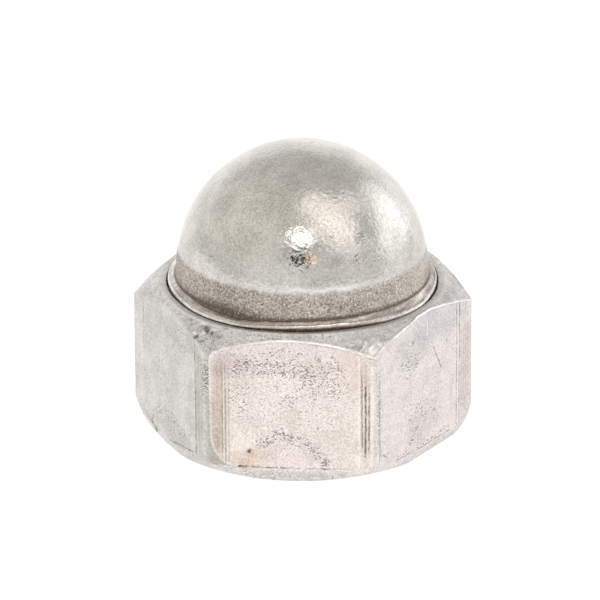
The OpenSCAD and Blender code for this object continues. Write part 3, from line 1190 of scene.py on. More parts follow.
class DomedCap:
    """The drawn dome with its flange, as one closed shell turned about the axis.

    Azimuths are in degrees, and a table that ends in _AT gives those of the table after it.
    """

    COLUMNS = 560
    HOLLOW_RINGS = 24
    SKIRT_RINGS = 8
    DOME_RINGS = 92
    # Height of the flange's rim against its regular height: the foot was pressed down further in
    # some places than in others.
    RIM_AT = (-180, -153, -140, -128, -112, -101, -92, -86, -78, -71, -60, -50, -40, -33, -25, 0, 90,
              180)
    RIM = (0.0, -0.05, -0.18, -0.19, -0.17, -0.03, 0.03, 0.07, 0.07, 0.09, 0.0, -0.12,
           -0.25, -0.32, -0.35, -0.14, 0.0, 0.0)
    # The same for the foot of the skirt.
    ROOT_AT = (-180, -146, -131, -114, -104, -86, -62, -48, -29, 10, 90, 180)
    ROOT = (0.0, 0.06, -0.07, -0.14, -0.03, 0.09, 0.08, 0.1, 0.1, 0.02, 0.0, 0.0)
    # Height over the dome's foot at which the dull band round it ends.
    BAND_AT = (-180, -125, -112, -86, -66, -48, 0, 90, 180)
    BAND = (1.16, 1.12, 1.14, 1.15, 1.12, 1.1, 1.2, 1.15, 1.16)
    # Rings of the flange's top: share of the way in from the rim, height over a plain cone, and
    # how dark and how bright. The brightness is painted highlight, and the dark of the last ring is
    # painted shade in the crease at the root.
    TOP_RINGS = ((0.12, 0.0, 0.05, 0.35), (0.24, -0.012, 0.32, 0.1), (0.36, -0.008, 0.2, 0.15),
                 (0.5, 0.0, 0.02, 0.25), (0.64, 0.003, 0.05, 0.25), (0.76, 0.002, 0.1, 0.2),
                 (0.87, 0.0, 0.1, 0.1), (0.95, -0.02, 0.6, 0.0))
    # Smudges: azimuth and elevation of each on the dome, half width in degrees, and depth of tone.
    SMUDGES = ((-52.6, 31.9, 2.6, 0.6), (-55.0, 30.2, 2.0, 0.45), (-51.1, 22.1, 3.8, 0.55),
               (-58.6, 21.7, 2.6, 0.5), (-134.2, 18.4, 1.8, 0.5), (-69.3, 33.8, 1.6, 0.35),
               (-48.0, 27.0, 10.0, 0.14), (54.9, 82.6, 0.9, 1.0), (15.6, 24.7, 2.0, 0.25),
               (-96.0, 30.0, 3.0, 0.14), (-46.0, 20.5, 1.6, 0.35))
    # Direction of the middle of the dull olive patch, from the dome's centre.
    OLIVE_WAY = (-0.405, -0.565, 0.719)

    def __init__(self, sizes: CapSizes, tint: Colour) -> None:
        """Keep the sizes and the metal's tint, and mark out the stretches of the foot.

        Args:
            sizes: Sizes of the cap.
            tint: Colour tint of the metal.
        """
        self.sizes = sizes
        self.tint = np.array(tint)
        self.centre = np.array([0.0, 0.0, sizes.dome_z])
        self.turn = np.linspace(0.0, 2.0 * math.pi, self.COLUMNS, endpoint=False)
        self.azimuth = np.degrees(np.arctan2(np.sin(self.turn), np.cos(self.turn)))
        self.rim_dip = np.interp(self.azimuth, self.RIM_AT, self.RIM)
        self.root_dip = np.interp(self.azimuth, self.ROOT_AT, self.ROOT)
        self.band = np.interp(self.azimuth, self.BAND_AT, self.BAND)
        # Stretches of the foot that differ: rust-stained, with painted shade in the gap, at the front;
        # a painted highlight, painted shade at the root and a less dull band at the front right;
        # painted shade on the left; darker and duller at the rim just left of the front; and dulled
        # further left.
        self.front = bell(self.azimuth + 85.0, 26.0)
        self.front_right = bell(self.azimuth + 74.0, 17.0)
        self.left = bell(self.azimuth + 123.0, 19.0)
        self.front_left = bell(self.azimuth + 108.0, 11.0)
        self.dulled = bell(self.azimuth + 150.0, 18.0)
        self.right = smooth_step(-68.0, -40.0, self.azimuth) * (1.0 - smooth_step(60.0, 120.0, self.azimuth))

    def hollow(self) -> list[Band]:
        """Section of the hollow, from the middle of its roof down to the mouth and the foot."""
        sizes = self.sizes
        bands = []
        for step in range(1, self.HOLLOW_RINGS + 1):
            angle = math.radians(90.0 * step / self.HOLLOW_RINGS)
            bands.append(Band(sizes.inner_r * math.sin(angle), sizes.dome_z + sizes.inner_r * math.cos(angle),
                              grime=0.35))
        bands.append(Band(sizes.inner_r, 0.5 * (sizes.dome_z + sizes.foot_z), grime=0.5))
        bands.append(Band(sizes.inner_r, sizes.foot_z + sizes.mouth_bevel, grime=0.5))
        # The mouth's bevel carries a painted highlight.
        bands.append(Band(sizes.inner_r + sizes.mouth_bevel, sizes.foot_z, grime=0.5, bright=0.3))
        bands.append(Band(sizes.flange_r - 0.05, sizes.foot_z, grime=0.5))
        return bands

    def flange(self) -> list[Band]:
        """Section of the flange, from its foot over the rim to the root of the skirt."""
        sizes = self.sizes
        rim_r, rim_z = sizes.flange_r - sizes.shy, sizes.rim_z
        top_r = sizes.flange_r - sizes.rim_bevel
        # Down the wall into the gap the bands are darkened with painted shade, and the rim's rounded edge
        # carries a painted highlight.
        bands = [
            Band(rim_r, sizes.foot_z + 0.04, dark=0.95, grime=0.9),
            Band(rim_r, rim_z - 0.36, dark=0.95, grime=0.9),
            Band(rim_r, rim_z - 0.23, dark=0.9, grime=0.8),
            Band(rim_r, rim_z - 0.165, dark=0.75, grime=0.5),
            Band(rim_r - 0.003, rim_z - 0.115, dark=0.35, grime=0.4),
            Band(rim_r - 0.012, rim_z - 0.06, bright=0.3),
            Band(rim_r - 0.035, rim_z - 0.015, bright=0.55),
            Band(top_r - 0.01, rim_z + 0.002, bright=0.55),
        ]
        fall = math.tan(math.radians(sizes.flange_slope))
        span = top_r - sizes.root_r
        for part, rise, dark, bright in self.TOP_RINGS:
            z = rim_z + span * part * fall + rise
            bands.append(Band(top_r - span * part, z, dark=dark + 0.09, bright=0.8 * bright, grime=0.2))
        # Painted shade in the crease at the root of the skirt.
        bands.append(Band(sizes.root_r - 0.01, sizes.root_z - 0.015, dark=1.0, grime=0.5))
        return bands

    def skirt(self) -> list[Band]:
        """Section of the skirt, from its root to the foot of the dome."""
        sizes = self.sizes
        bands = []
        for step in range(1, self.SKIRT_RINGS + 1):
            part = step / self.SKIRT_RINGS
            r = sizes.dome_r + sizes.flare_w * (1.0 - part) ** 1.8
            # Darker towards the root: painted shade in the crease; the whole skirt is in the dull band.
            bands.append(Band(r, sizes.root_z + sizes.flare_h * part, dark=(1.0 - part) ** 1.9, grime=1.0,
                              pitted=0.1))
        rise = sizes.dome_z - sizes.root_z - sizes.flare_h
        for part in (0.33, 0.66, 1.0):
            bands.append(Band(sizes.dome_r - sizes.shy, sizes.root_z + sizes.flare_h + rise * part,
                              grime=1.0, pitted=0.1))
        return bands

    def dome(self) -> list[Band]:
        """Section of the dome, from its foot to the ring next to its top."""
        bands = []
        radius = self.sizes.dome_r - self.sizes.shy
        for step in range(1, self.DOME_RINGS):
            angle = math.radians(90.0 * step / self.DOME_RINGS)
            bands.append(Band(radius * math.cos(angle), self.sizes.dome_z + radius * math.sin(angle)))
        return bands

    def degrees_off(self, points: np.ndarray, axis: np.ndarray) -> np.ndarray:
        """Angle in degrees at the dome's centre between each point and a direction."""
        way = points - self.centre
        way = way / np.linalg.norm(way, axis=1)[:, None]
        return np.degrees(np.arccos(np.clip(way @ axis, -1.0, 1.0)))

    def olive(self, points: np.ndarray) -> np.ndarray:
        """How much each point of the dome has of the dull olive patch at its upper left."""
        off = self.degrees_off(points, np.array(self.OLIVE_WAY)) + 5.0 * value_noise(points, 1.5, 59)
        return 0.15 * (1.0 - smooth_step(12.0, 38.0, off))

    def smudges(self, points: np.ndarray) -> np.ndarray:
        """Grey smudges on the dome, by the direction from its centre, and one small pit.

        Args:
            points: Points of the dome.

        Returns:
            How strong the smudges are at each point.
        """
        total = np.zeros(len(points))
        for azimuth, rise, half, amount in self.SMUDGES:
            turn, tip = math.radians(azimuth), math.radians(rise)
            axis = np.array([math.cos(tip) * math.cos(turn), math.cos(tip) * math.sin(turn), math.sin(tip)])
            total = np.maximum(total, amount * bell(self.degrees_off(points, axis), half))
        return total * np.clip(0.7 + 0.6 * value_noise(points, 0.35, 60), 0.0, 1.3)

    def ring(self, band: Band) -> np.ndarray:
        """Points of one regular ring of the section."""
        return np.column_stack([band.r * np.cos(self.turn), band.r * np.sin(self.turn),
                                np.full(self.COLUMNS, band.z)])

    def plain_marks(self, band: Band) -> dict[Mark, np.ndarray]:
        """What a ring carries before its place round the cap counts."""
        values = {Mark.DARK: band.dark, Mark.BRIGHT: band.bright, Mark.GRIME: band.grime,
                  Mark.PITTED: band.pitted}
        return {mark: np.full(self.COLUMNS, value) for mark, value in values.items()}

    def near_rim(self, band: Band) -> bool:
        """Whether a ring of the outer wall is on the flange or just above it."""
        sizes = self.sizes
        return band.r > sizes.root_r - 0.1 and sizes.foot_z + 0.1 < band.z < sizes.root_z + 0.1

    def outer_ring(self, band: Band) -> np.ndarray:
        """Points of one ring of the outer wall, as unevenly as it was drawn and pressed down.

        Args:
            band: The ring in the section.

        Returns:
            Its points, in millimetres.
        """
        sizes = self.sizes
        points = self.ring(band)
        if band.z > sizes.dome_z:
            sag = 0.007 * (1.0 + value_noise(points, 3.0, 51)) + 0.003 * (1.0 + value_noise(points, 1.1, 52))
            reach = np.linalg.norm(points - self.centre, axis=1)
            points = self.centre + (points - self.centre) * (1.0 - sag / reach)[:, None]
        if self.near_rim(band):
            part = np.clip((band.z - sizes.rim_z) / (sizes.root_z - sizes.rim_z), 0.0, 1.0)
            points[:, 2] += self.rim_dip * (1.0 - part) + self.root_dip * part
            points[:, 2] += 0.012 * value_noise(points, 0.7, 53) + 0.014 * value_noise(points, 0.22, 61)
            points[:, 2] += 0.008 * value_noise(points, 0.11, 62)
        elif band.z < sizes.dome_z:
            part = (sizes.dome_z - band.z) / (sizes.dome_z - sizes.root_z)
            points[:, 2] += self.root_dip * part
        return points

    def mark_flange(self, band: Band, points: np.ndarray, marks: dict[Mark, np.ndarray]) -> None:
        """Vary the marks of one ring of the flange round the cap.

        Args:
            band: The ring in the section.
            points: The ring's points.
            marks: What the ring carries, changed in place.
        """
        sizes = self.sizes
        # The rim's painted highlight is broken up, and weaker on the right and just left of the front.
        broken = 0.6 + 0.8 * value_noise(points, 0.5, 54) + 0.8 * value_noise(points, 0.15, 55)
        shown = np.clip(broken, 0.0, 1.0) * (1.0 - 0.6 * self.right) * (1.0 - 0.85 * self.front_left)
        marks[Mark.BRIGHT] *= shown
        marks[Mark.GRIME] += 0.34 * self.right + 0.35 * self.dulled + 0.4 * self.front_left
        # Down the wall into the gap: painted shade, most at the front and just left of it, and rust at the
        # front.
        if sizes.rim_z - 0.2 < band.z <= sizes.rim_z - 0.05:
            share = 0.05 + 1.0 * self.front + 1.6 * self.front_left + 0.4 * value_noise(points, 0.45, 63)
            marks[Mark.GRIME] *= 0.4 + 0.6 * self.front
            marks[Mark.DARK] *= np.clip(share, 0.0, 1.3)
            marks[Mark.STAIN] = 0.5 * self.front
        if sizes.rim_z - 0.05 < band.z < sizes.root_z - 0.03:
            share = 0.45 + 0.05 * self.left + 0.5 * self.dulled + 0.8 * self.right
            share = share + 0.5 * value_noise(points, 0.6, 56)
            streak = np.column_stack([self.azimuth * 0.07, points[:, 2] * 7.0, np.full(self.COLUMNS, band.r)])
            streaks = 0.55 * self.right * np.clip(0.4 + 1.3 * value_noise(streak, 0.6, 64), 0.0, 1.0)
            marks[Mark.DARK] = marks[Mark.DARK] * np.clip(share, 0.0, 1.2) + streaks

    def mark_root(self, band: Band, marks: dict[Mark, np.ndarray]) -> None:
        """Darken the crease at the foot of the skirt with painted shade at the front right, add a painted
        shadow on the left, and stain the front, where one ring crosses it.
        """
        above = band.z - self.sizes.root_z
        low = math.exp(-((above / 0.16) ** 2))
        shadow = 1.15 * self.left * math.exp(-(((above - 0.05) / 0.42) ** 2))
        dark = marks[Mark.DARK] + 0.6 * self.front_right * low
        dark = dark * (0.95 + 0.05 * np.maximum(self.left, self.right))
        marks[Mark.STAIN] = 0.35 * self.front * low
        marks[Mark.DARK] = np.clip(dark + shadow, 0.0, 1.0)

    def mark_dome(self, points: np.ndarray, marks: dict[Mark, np.ndarray]) -> None:
        """Lay the dull band, the olive patch and the smudges over one ring of the skirt or dome, with a
        painted highlight above the band at the front right and painted shade over its left side.

        Args:
            points: The ring's points.
            marks: What the ring carries, changed in place.
        """
        edge = self.band + 0.05 * value_noise(points, 0.9, 57) + 0.05 * value_noise(points, 0.3, 58)
        above = points[:, 2] - self.sizes.dome_z - edge
        dull = 1.0 - smooth_step(-0.16, 0.14, above)
        worn = self.front_right * smooth_step(-0.8, -0.1, above)
        smudged = self.smudges(points)
        grimy = dull * (1.0 - 0.2 * self.right - 0.35 * worn)
        marks[Mark.GRIME] = np.maximum(grimy, self.olive(points))
        # A painted highlight just above the band at the front right.
        marks[Mark.BRIGHT] = 0.45 * self.front_right * bell(above - 0.16, 0.14)
        marks[Mark.PITTED] = 0.1 * dull + 1.6 * smudged
        # Painted shade darkens the band on the left; the smudges are darker still.
        marks[Mark.DARK] = np.maximum(marks[Mark.DARK], np.maximum(0.22 * dull * self.left, 0.75 * smudged))

    def build(self) -> bpy.types.Object:
        """Make the cap's object.

        Returns:
            The object, a closed mesh.
        """
        sizes = self.sizes
        rings = Rings()
        for band in self.hollow():
            rings.add(self.ring(band), self.tint, self.plain_marks(band))
        for band in self.flange() + self.skirt() + self.dome():
            points, marks = self.outer_ring(band), self.plain_marks(band)
            if self.near_rim(band):
                self.mark_flange(band, points, marks)
            if sizes.root_z - 0.1 < band.z < sizes.dome_z + 0.8:
                self.mark_root(band, marks)
            if band.z > sizes.root_z:
                self.mark_dome(points, marks)
            rings.add(points, self.tint, marks)
        skin = Skin()
        first, last = skin.stack(rings)
        count = rings.count()
        skin.close(first, count, np.array([0.0, 0.0, sizes.dome_z + sizes.inner_r]), upwards=False)
        skin.close(last, count, np.array([0.0, 0.0, sizes.top_z - sizes.shy - 0.004]), upwards=True)
        return skin.build("drawn_cap")


# ---------------------------------------------------------------- node helpers


class Graph:
    """Thin wrapper round a node tree, so that a graph reads like sums."""

    def __init__(self, tree: bpy.types.NodeTree) -> None:
        """Wrap one node tree."""
        self.tree = tree

    def node(self, kind: str, **settings: object) -> bpy.types.Node:
        """Add a node of a kind, with its properties set."""
        made = self.tree.nodes.new(kind)
        for name, value in settings.items():
            setattr(made, name, value)
        return made

    def feed(self, socket: Socket, value: object) -> None:
        """Link another socket to this one, or set its constant."""
        if isinstance(value, Socket):
            self.tree.links.new(value, socket)
        else:
            socket.default_value = value

    def math(self, operation: str, *values: object, clamp: bool = False) -> Socket:
        """Add a Math node and return its output."""
        made = self.node("ShaderNodeMath", operation=operation, use_clamp=clamp)
        for socket, value in zip(made.inputs, values):
            self.feed(socket, value)
        return made.outputs[0]

    def vector(self, operation: str, *values: object) -> Socket:
        """Add a Vector Math node and return its vector, or its value where it has only that."""
        made = self.node("ShaderNodeVectorMath", operation=operation)
        for socket, value in zip(made.inputs, values):
            self.feed(socket, value)
        return made.outputs["Value" if operation in {"LENGTH", "DISTANCE", "DOT_PRODUCT"} else "Vector"]

    def blend(self, factor: object, first: object, second: object, mode: str = "MIX") -> Socket:
        """Add a colour Mix node and return its result."""
        made = self.node("ShaderNodeMix", data_type="RGBA", blend_type=mode)
        self.feed(made.inputs[0], factor)
        self.feed(made.inputs[6], first)
        self.feed(made.inputs[7], second)
        return made.outputs[2]

    def remap(self, value: object, low: object, high: object, to_low: float = 0.0,
              to_high: float = 1.0) -> Socket:
        """Map a value smoothly from one span to another."""
        made = self.node("ShaderNodeMapRange", interpolation_type="SMOOTHSTEP")
        for socket, number in zip(made.inputs, (value, low, high, to_low, to_high)):
            self.feed(socket, number)
        return made.outputs[0]

    def noise(self, place: object, scale: float, detail: float, roughness: float) -> Socket:
        """Add a Noise texture and return its value."""
        made = self.node("ShaderNodeTexNoise")
        values = {"Vector": place, "Scale": scale, "Detail": detail, "Roughness": roughness}
        for name, value in values.items():
            self.feed(made.inputs[name], value)
        return made.outputs["Fac"]

    def scaled(self, place: object, scale: object) -> Socket:
        """Scale a vector by a number."""
        made = self.vector("SCALE", place)
        self.feed(made.node.inputs["Scale"], scale)
        return made

    def attribute(self, name: str) -> bpy.types.Node:
        """Add an Attribute node that reads a value of the mesh."""
        return self.node("ShaderNodeAttribute", attribute_name=name)

    def group(self, tree: bpy.types.NodeTree, **values: object) -> bpy.types.Node:
        """Add a group and feed its inputs by name, with _ for a space."""
        made = self.node("ShaderNodeGroup", node_tree=tree)
        for name, value in values.items():
            self.feed(made.inputs[name.replace("_", " ")], value)
        return made


def new_group(name: str, inputs: dict[str, str],
              outputs: dict[str, str]) -> tuple[Graph, bpy.types.Node, bpy.types.Node]:
    """Start a shader node group.

    Args:
        name: Name of the group.
        inputs: Its inputs, as name to the last part of the socket's kind.
        outputs: Its outputs, likewise.

    Returns:
        The graph inside, its input node and its output node.
    """
    tree = bpy.data.node_groups.new(name, "ShaderNodeTree")
    for where, sockets in (("INPUT", inputs), ("OUTPUT", outputs)):
        for label, kind in sockets.items():
            tree.interface.new_socket(label, in_out=where, socket_type="NodeSocket" + kind)
    graph = Graph(tree)
    return graph, graph.node("NodeGroupInput"), graph.node("NodeGroupOutput")


class Effects:
    """Node groups that the finishes share."""

    def __init__(self) -> None:
        """Build the groups."""
        self.grain = self.make_grain()
        self.pits = self.make_pits()
        self.mark = self.make_mark()
        self.drag = self.make_drag()

    @staticmethod
    def make_grain() -> bpy.types.NodeTree:
        """Mottling of bare metal: broad clouds, and a fine speckle."""
        graph, given, result = new_group(
            "metal_grain", {"Place": "Vector", "Cloud Size": "Float", "Speckle Size": "Float"},
            {"Cloud": "Float", "Speckle": "Float"})
        place = given.outputs["Place"]
        clouds = graph.scaled(place, graph.math("DIVIDE", 1.0, given.outputs["Cloud Size"]))
        specks = graph.scaled(place, graph.math("DIVIDE", 1.0, given.outputs["Speckle Size"]))
        graph.feed(result.inputs["Cloud"], graph.remap(graph.noise(clouds, 1.0, 3.0, 0.6), 0.3, 0.7))
        graph.feed(result.inputs["Speckle"], graph.remap(graph.noise(specks, 1.0, 4.0, 0.8), 0.33, 0.63))
        return graph.tree

    @staticmethod
    def make_pits() -> bpy.types.NodeTree:
        """Scattered pits of uneven shape, and the lit lip on the lower side of each."""
        graph, given, result = new_group(
            "pits", {"Place": "Vector", "Size": "Float", "Amount": "Float"},
            {"Mask": "Float", "Lip": "Float"})
        amount = given.outputs["Amount"]
        low = graph.math("SUBTRACT", 0.665, graph.math("MULTIPLY", amount, 0.115))
        high = graph.math("ADD", low, 0.05)
        shown = graph.remap(amount, 0.02, 0.2)
        masks = []
        for shift in (0.0, 0.055):
            place = graph.scaled(graph.vector("ADD", given.outputs["Place"], (0.0, 0.0, shift)),
                                 graph.math("DIVIDE", 1.0, given.outputs["Size"]))
            holes = graph.remap(graph.noise(place, 1.0, 1.0, 0.5), low, high)
            masks.append(graph.math("MULTIPLY", holes, shown))
        graph.feed(result.inputs["Mask"], masks[0])
        graph.feed(result.inputs["Lip"], graph.math("SUBTRACT", masks[1], masks[0], clamp=True))
        return graph.tree

    @staticmethod
    def make_mark() -> bpy.types.NodeTree:
        """One straight mark between two places, or a spot at one, laid over the marks so far."""
        graph, given, result = new_group(
            "drawn_mark",
            {"Under": "Float", "Place": "Vector", "Start": "Vector", "End": "Vector", "Width": "Float",
             "Core": "Float", "Tone": "Float"}, {"Marks": "Float"})
        run = graph.vector("SUBTRACT", given.outputs["End"], given.outputs["Start"])
        here = graph.vector("SUBTRACT", Effects.in_turn(graph, given), given.outputs["Start"])
        along = graph.math("DIVIDE", graph.vector("DOT_PRODUCT", here, run),
                           graph.vector("DOT_PRODUCT", run, run), clamp=True)
        away = graph.vector("LENGTH", graph.vector("SUBTRACT", here, graph.scaled(run, along)))
        core = graph.math("MULTIPLY", given.outputs["Width"], given.outputs["Core"])
        mask = graph.remap(away, core, given.outputs["Width"], 1.0, 0.0)
        amount = graph.math("MULTIPLY", mask, given.outputs["Tone"])
        graph.feed(result.inputs["Marks"], graph.math("MAXIMUM", given.outputs["Under"], amount))
        return graph.tree

    @staticmethod
    def in_turn(graph: Graph, given: bpy.types.Node) -> Socket:
        """Place given to a group, made to wait for the marks under it.

        Those marks shift it by next to nothing. That makes Cycles work the marks out one after
        another, as it runs out of room when it starts on all of them at once.
        """
        wait = graph.node("ShaderNodeCombineXYZ")
        graph.feed(wait.inputs[2], graph.math("MULTIPLY", given.outputs["Under"], 1e-4))
        return graph.vector("ADD", given.outputs["Place"], wait.outputs[0])

    @staticmethod
    def make_drag() -> bpy.types.NodeTree:
        """Fine upright drag lines that a die leaves on a flat."""
        graph, given, result = new_group("drag_lines", {"Place": "Vector"}, {"Line": "Float"})
        stretched = graph.vector("MULTIPLY", given.outputs["Place"], (9.0, 0.55, 1.0))
        graph.feed(result.inputs["Line"], graph.remap(graph.noise(stretched, 1.0, 3.0, 0.6), 0.3, 0.7))
        return graph.tree


# ---------------------------------------------------------------- finishes


@dataclass(frozen=True)
class SteelFinish:
    """Bare metal: its gloss, and how strong each part of its grain is. Sizes in millimetres.

    drag is the strength of the drag lines, and a warmth below 1 reddens the dark grain. glint is
    how bright the painted glints on the brightest specks are, and edge_tint the metal's tint at
    grazing angles. dark_colour is that of marks and of painted shade, and bright_colour that of
    painted highlights and bright wear.
    """

    name: str
    roughness: float
    roughness_swing: float
    cloud_size: float
    cloud_tone: float
    speckle_size: float
    speckle_tone: float
    speckle_height: float
    crinkle_size: float
    crinkle_height: float
    pit_size: float
    pit_height: float
    drag: float
    grime_colour: Colour
    grime_roughness: float
    grime_grain: float
    warmth: float
    glint: float
    edge_tint: Colour = (1.0, 1.0, 1.0)
    stain_colour: Colour = (0.5, 0.27, 0.12)
    dark_colour: Colour = (0.085, 0.055, 0.045)
    bright_colour: Colour = (0.96, 0.95, 0.93)


NUT_FINISH = SteelFinish(
    name="forged_steel", roughness=0.4, roughness_swing=0.12, cloud_size=1.3, cloud_tone=0.05,
    speckle_size=0.13, speckle_tone=0.32, speckle_height=0.012, crinkle_size=0.5, crinkle_height=0.004,
    pit_size=0.1, pit_height=0.03, drag=0.06, grime_colour=(0.42, 0.405, 0.385), grime_roughness=0.5,
    grime_grain=0.15, warmth=0.92, glint=0.25)

CAP_FINISH = SteelFinish(
    name="polished_steel", roughness=0.05, roughness_swing=0.035, cloud_size=1.9, cloud_tone=0.15,
    speckle_size=0.12, speckle_tone=0.34, speckle_height=0.0005, crinkle_size=0.23, crinkle_height=0.02,
    pit_size=0.15, pit_height=0.012, drag=0.0, grime_colour=(0.6, 0.53, 0.455), grime_roughness=0.42,
    grime_grain=0.46, warmth=1.0, glint=0.17, edge_tint=(0.96, 0.95, 0.94),
    bright_colour=(0.96, 0.93, 0.89))


class SteelMaterial:
    """Procedural material of one of the pieces, driven by the marks that its mesh carries."""

    def __init__(self, finish: SteelFinish, effects: Effects,
                 looks: dict[Side, FlatLook] | None = None) -> None:
        """Build the node tree.

        Args:
            finish: Gloss and grain of the metal.
            effects: Node groups shared by the finishes.
            looks: Looks of the flats, whose dark lines, painted highlights and spots are drawn in the
                material.
        """
        self.finish = finish
        self.effects = effects
        self.material = bpy.data.materials.new(finish.name)
        self.material.use_nodes = True
        self.material.node_tree.nodes.clear()
        self.graph = Graph(self.material.node_tree)
        self.place = self.graph.scaled(self.graph.node("ShaderNodeTexCoord").outputs["Object"], 1.0 / MM)
        self.sheet = self.sheet_place()
        self.shade(*self.drawn_marks(looks or {}))

    def sheet_place(self) -> Socket:
        """Place on the sheet of flats, bent a little so that drawn marks aren't ruler straight."""
        graph = self.graph
        split = graph.node("ShaderNodeSeparateXYZ")
        graph.feed(split.inputs[0], self.place)
        join = graph.node("ShaderNodeCombineXYZ")
        graph.feed(join.inputs[0], graph.attribute("sheet").outputs["Fac"])
        graph.feed(join.inputs[1], split.outputs["Z"])
        wobble = graph.node("ShaderNodeTexNoise")
        graph.feed(wobble.inputs["Vector"], join.outputs[0])
        wobble.inputs["Scale"].default_value = 4.0
        wobble.inputs["Detail"].default_value = 3.0
        offset = graph.vector("SUBTRACT", wobble.outputs["Color"], (0.5, 0.5, 0.5))
        offset = graph.vector("MULTIPLY", offset, (0.16, 0.16, 0.0))
        return graph.vector("ADD", join.outputs[0], offset)

    def drawn_marks(self, looks: dict[Side, FlatLook]) -> tuple[Socket, Socket]:
        """Sum the dark lines, painted highlights and spots of the flats.

        Args:
            looks: Looks of the flats.

        Returns:
            How dark and how bright the marks make the metal, with those that the mesh carries, painted
            shade and painted highlights among them.
        """
        graph = self.graph
        dark = graph.attribute(Mark.DARK.value).outputs["Fac"]
        bright = graph.attribute(Mark.BRIGHT.value).outputs["Fac"]
        for index, side in enumerate(Side):
            if side not in looks:
                continue
            shift = index * SHEET_STEP
            for stroke in looks[side].scratches_and_highlights:
                for (u0, z0), (u1, z1) in zip(stroke.path, stroke.path[1:]):
                    under = dark if stroke.tone > 0.0 else bright
                    mark = graph.group(self.effects.mark, Under=under, Place=self.sheet,
                                       Start=(u0 + shift, z0, 0.0), End=(u1 + shift, z1, 0.0),
                                       Width=1.6 * stroke.width, Core=0.35,
                                       Tone=abs(stroke.tone)).outputs[0]
                    dark, bright = (mark, bright) if stroke.tone > 0.0 else (dark, mark)
            for blot in looks[side].blots:
                if blot.dark > 0.0:
                    spot = (blot.u + shift, blot.z, 0.0)
                    dark = graph.group(self.effects.mark, Under=dark, Place=self.sheet, Start=spot, End=spot,
                                       Width=1.25 * blot.radius, Core=0.3, Tone=blot.dark).outputs[0]
        return dark, bright

    def scattered_pits(self, cloud: Socket) -> tuple[Socket, Socket]:
        """Masks of the fine and coarse pits, and of their lit lips, thicker where it's cloudier.

        Args:
            cloud: The broad part of the grain.

        Returns:
            The mask of the pits, and that of their lips.
        """
        graph = self.graph
        pitted = graph.attribute(Mark.PITTED.value).outputs["Fac"]
        patchy = graph.math("MULTIPLY", pitted, graph.remap(cloud, 0.0, 0.8, 0.45, 1.0))
        fine = graph.group(self.effects.pits, Place=self.place, Size=self.finish.pit_size, Amount=patchy)
        coarse = graph.group(self.effects.pits, Place=graph.vector("ADD", self.place, (3.1, 7.7, 1.3)),
                             Size=1.9 * self.finish.pit_size, Amount=graph.math("MULTIPLY", patchy, 0.6))
        return tuple(graph.math("MAXIMUM", one, other) for one, other in zip(fine.outputs, coarse.outputs))

    def grained_tint(self, cloud: Socket, speckle: Socket,
                     grime: Socket) -> Socket:
        """Colour of the metal with its grime and grain, before the marks.

        Args:
            cloud: The broad part of the grain.
            speckle: The fine part of the grain.
            grime: How grimy the metal is.

        Returns:
            The colour.
        """
        graph, finish = self.graph, self.finish
        strength = graph.math("MULTIPLY", graph.remap(cloud, 0.0, 1.0, 1.1, 0.8), finish.speckle_tone)
        strength = graph.math("ADD", strength, graph.math("MULTIPLY", grime, finish.grime_grain))
        flecks = graph.math("MULTIPLY", graph.math("SUBTRACT", 1.0, speckle), strength)
        tone = graph.math("MULTIPLY", graph.remap(cloud, 0.0, 1.0, 1.0 - finish.cloud_tone, 1.0),
                          graph.math("SUBTRACT", 1.0, flecks, clamp=True))
        if finish.drag > 0.0:
            drag = graph.group(self.effects.drag, Place=self.sheet).outputs[0]
            tone = graph.math("MULTIPLY", tone, graph.remap(drag, 0.0, 1.0, 1.0 - finish.drag, 1.0))
        grimy = graph.math("MULTIPLY", grime, graph.remap(speckle, 0.0, 1.0, 0.62, 1.0))
        colour = graph.blend(grimy, graph.attribute("tint").outputs["Color"], (*finish.grime_colour, 1.0))
        warm = graph.node("ShaderNodeCombineColor")
        graph.feed(warm.inputs[0], graph.math("POWER", tone, finish.warmth))
        graph.feed(warm.inputs[1], tone)
        graph.feed(warm.inputs[2], tone)
        return graph.blend(1.0, colour, warm.outputs[0], "MULTIPLY")

    def relief(self, speckle: Socket, pits: Socket) -> Socket:
        """Fine relief: the speckle, the crinkle, the pits and the dark marks of the mesh.

        Args:
            speckle: The fine part of the grain.
            pits: The mask of the pits.

        Returns:
            The normal.
        """
        graph, finish = self.graph, self.finish
        height = graph.math("MULTIPLY", speckle, finish.speckle_height)
        crinkle = graph.noise(self.place, 1.0 / finish.crinkle_size, 1.0, 0.5)
        height = graph.math("ADD", height, graph.math("MULTIPLY", crinkle, finish.crinkle_height))
        height = graph.math("SUBTRACT", height, graph.math("MULTIPLY", pits, finish.pit_height))
        carried = graph.attribute(Mark.DARK.value).outputs["Fac"]
        height = graph.math("SUBTRACT", height, graph.math("MULTIPLY", carried, 0.4 * finish.pit_height))
        bump = graph.node("ShaderNodeBump")
        bump.inputs["Strength"].default_value = 1.0
        bump.inputs["Distance"].default_value = MM
        graph.feed(bump.inputs["Height"], height)
        return bump.outputs[0]

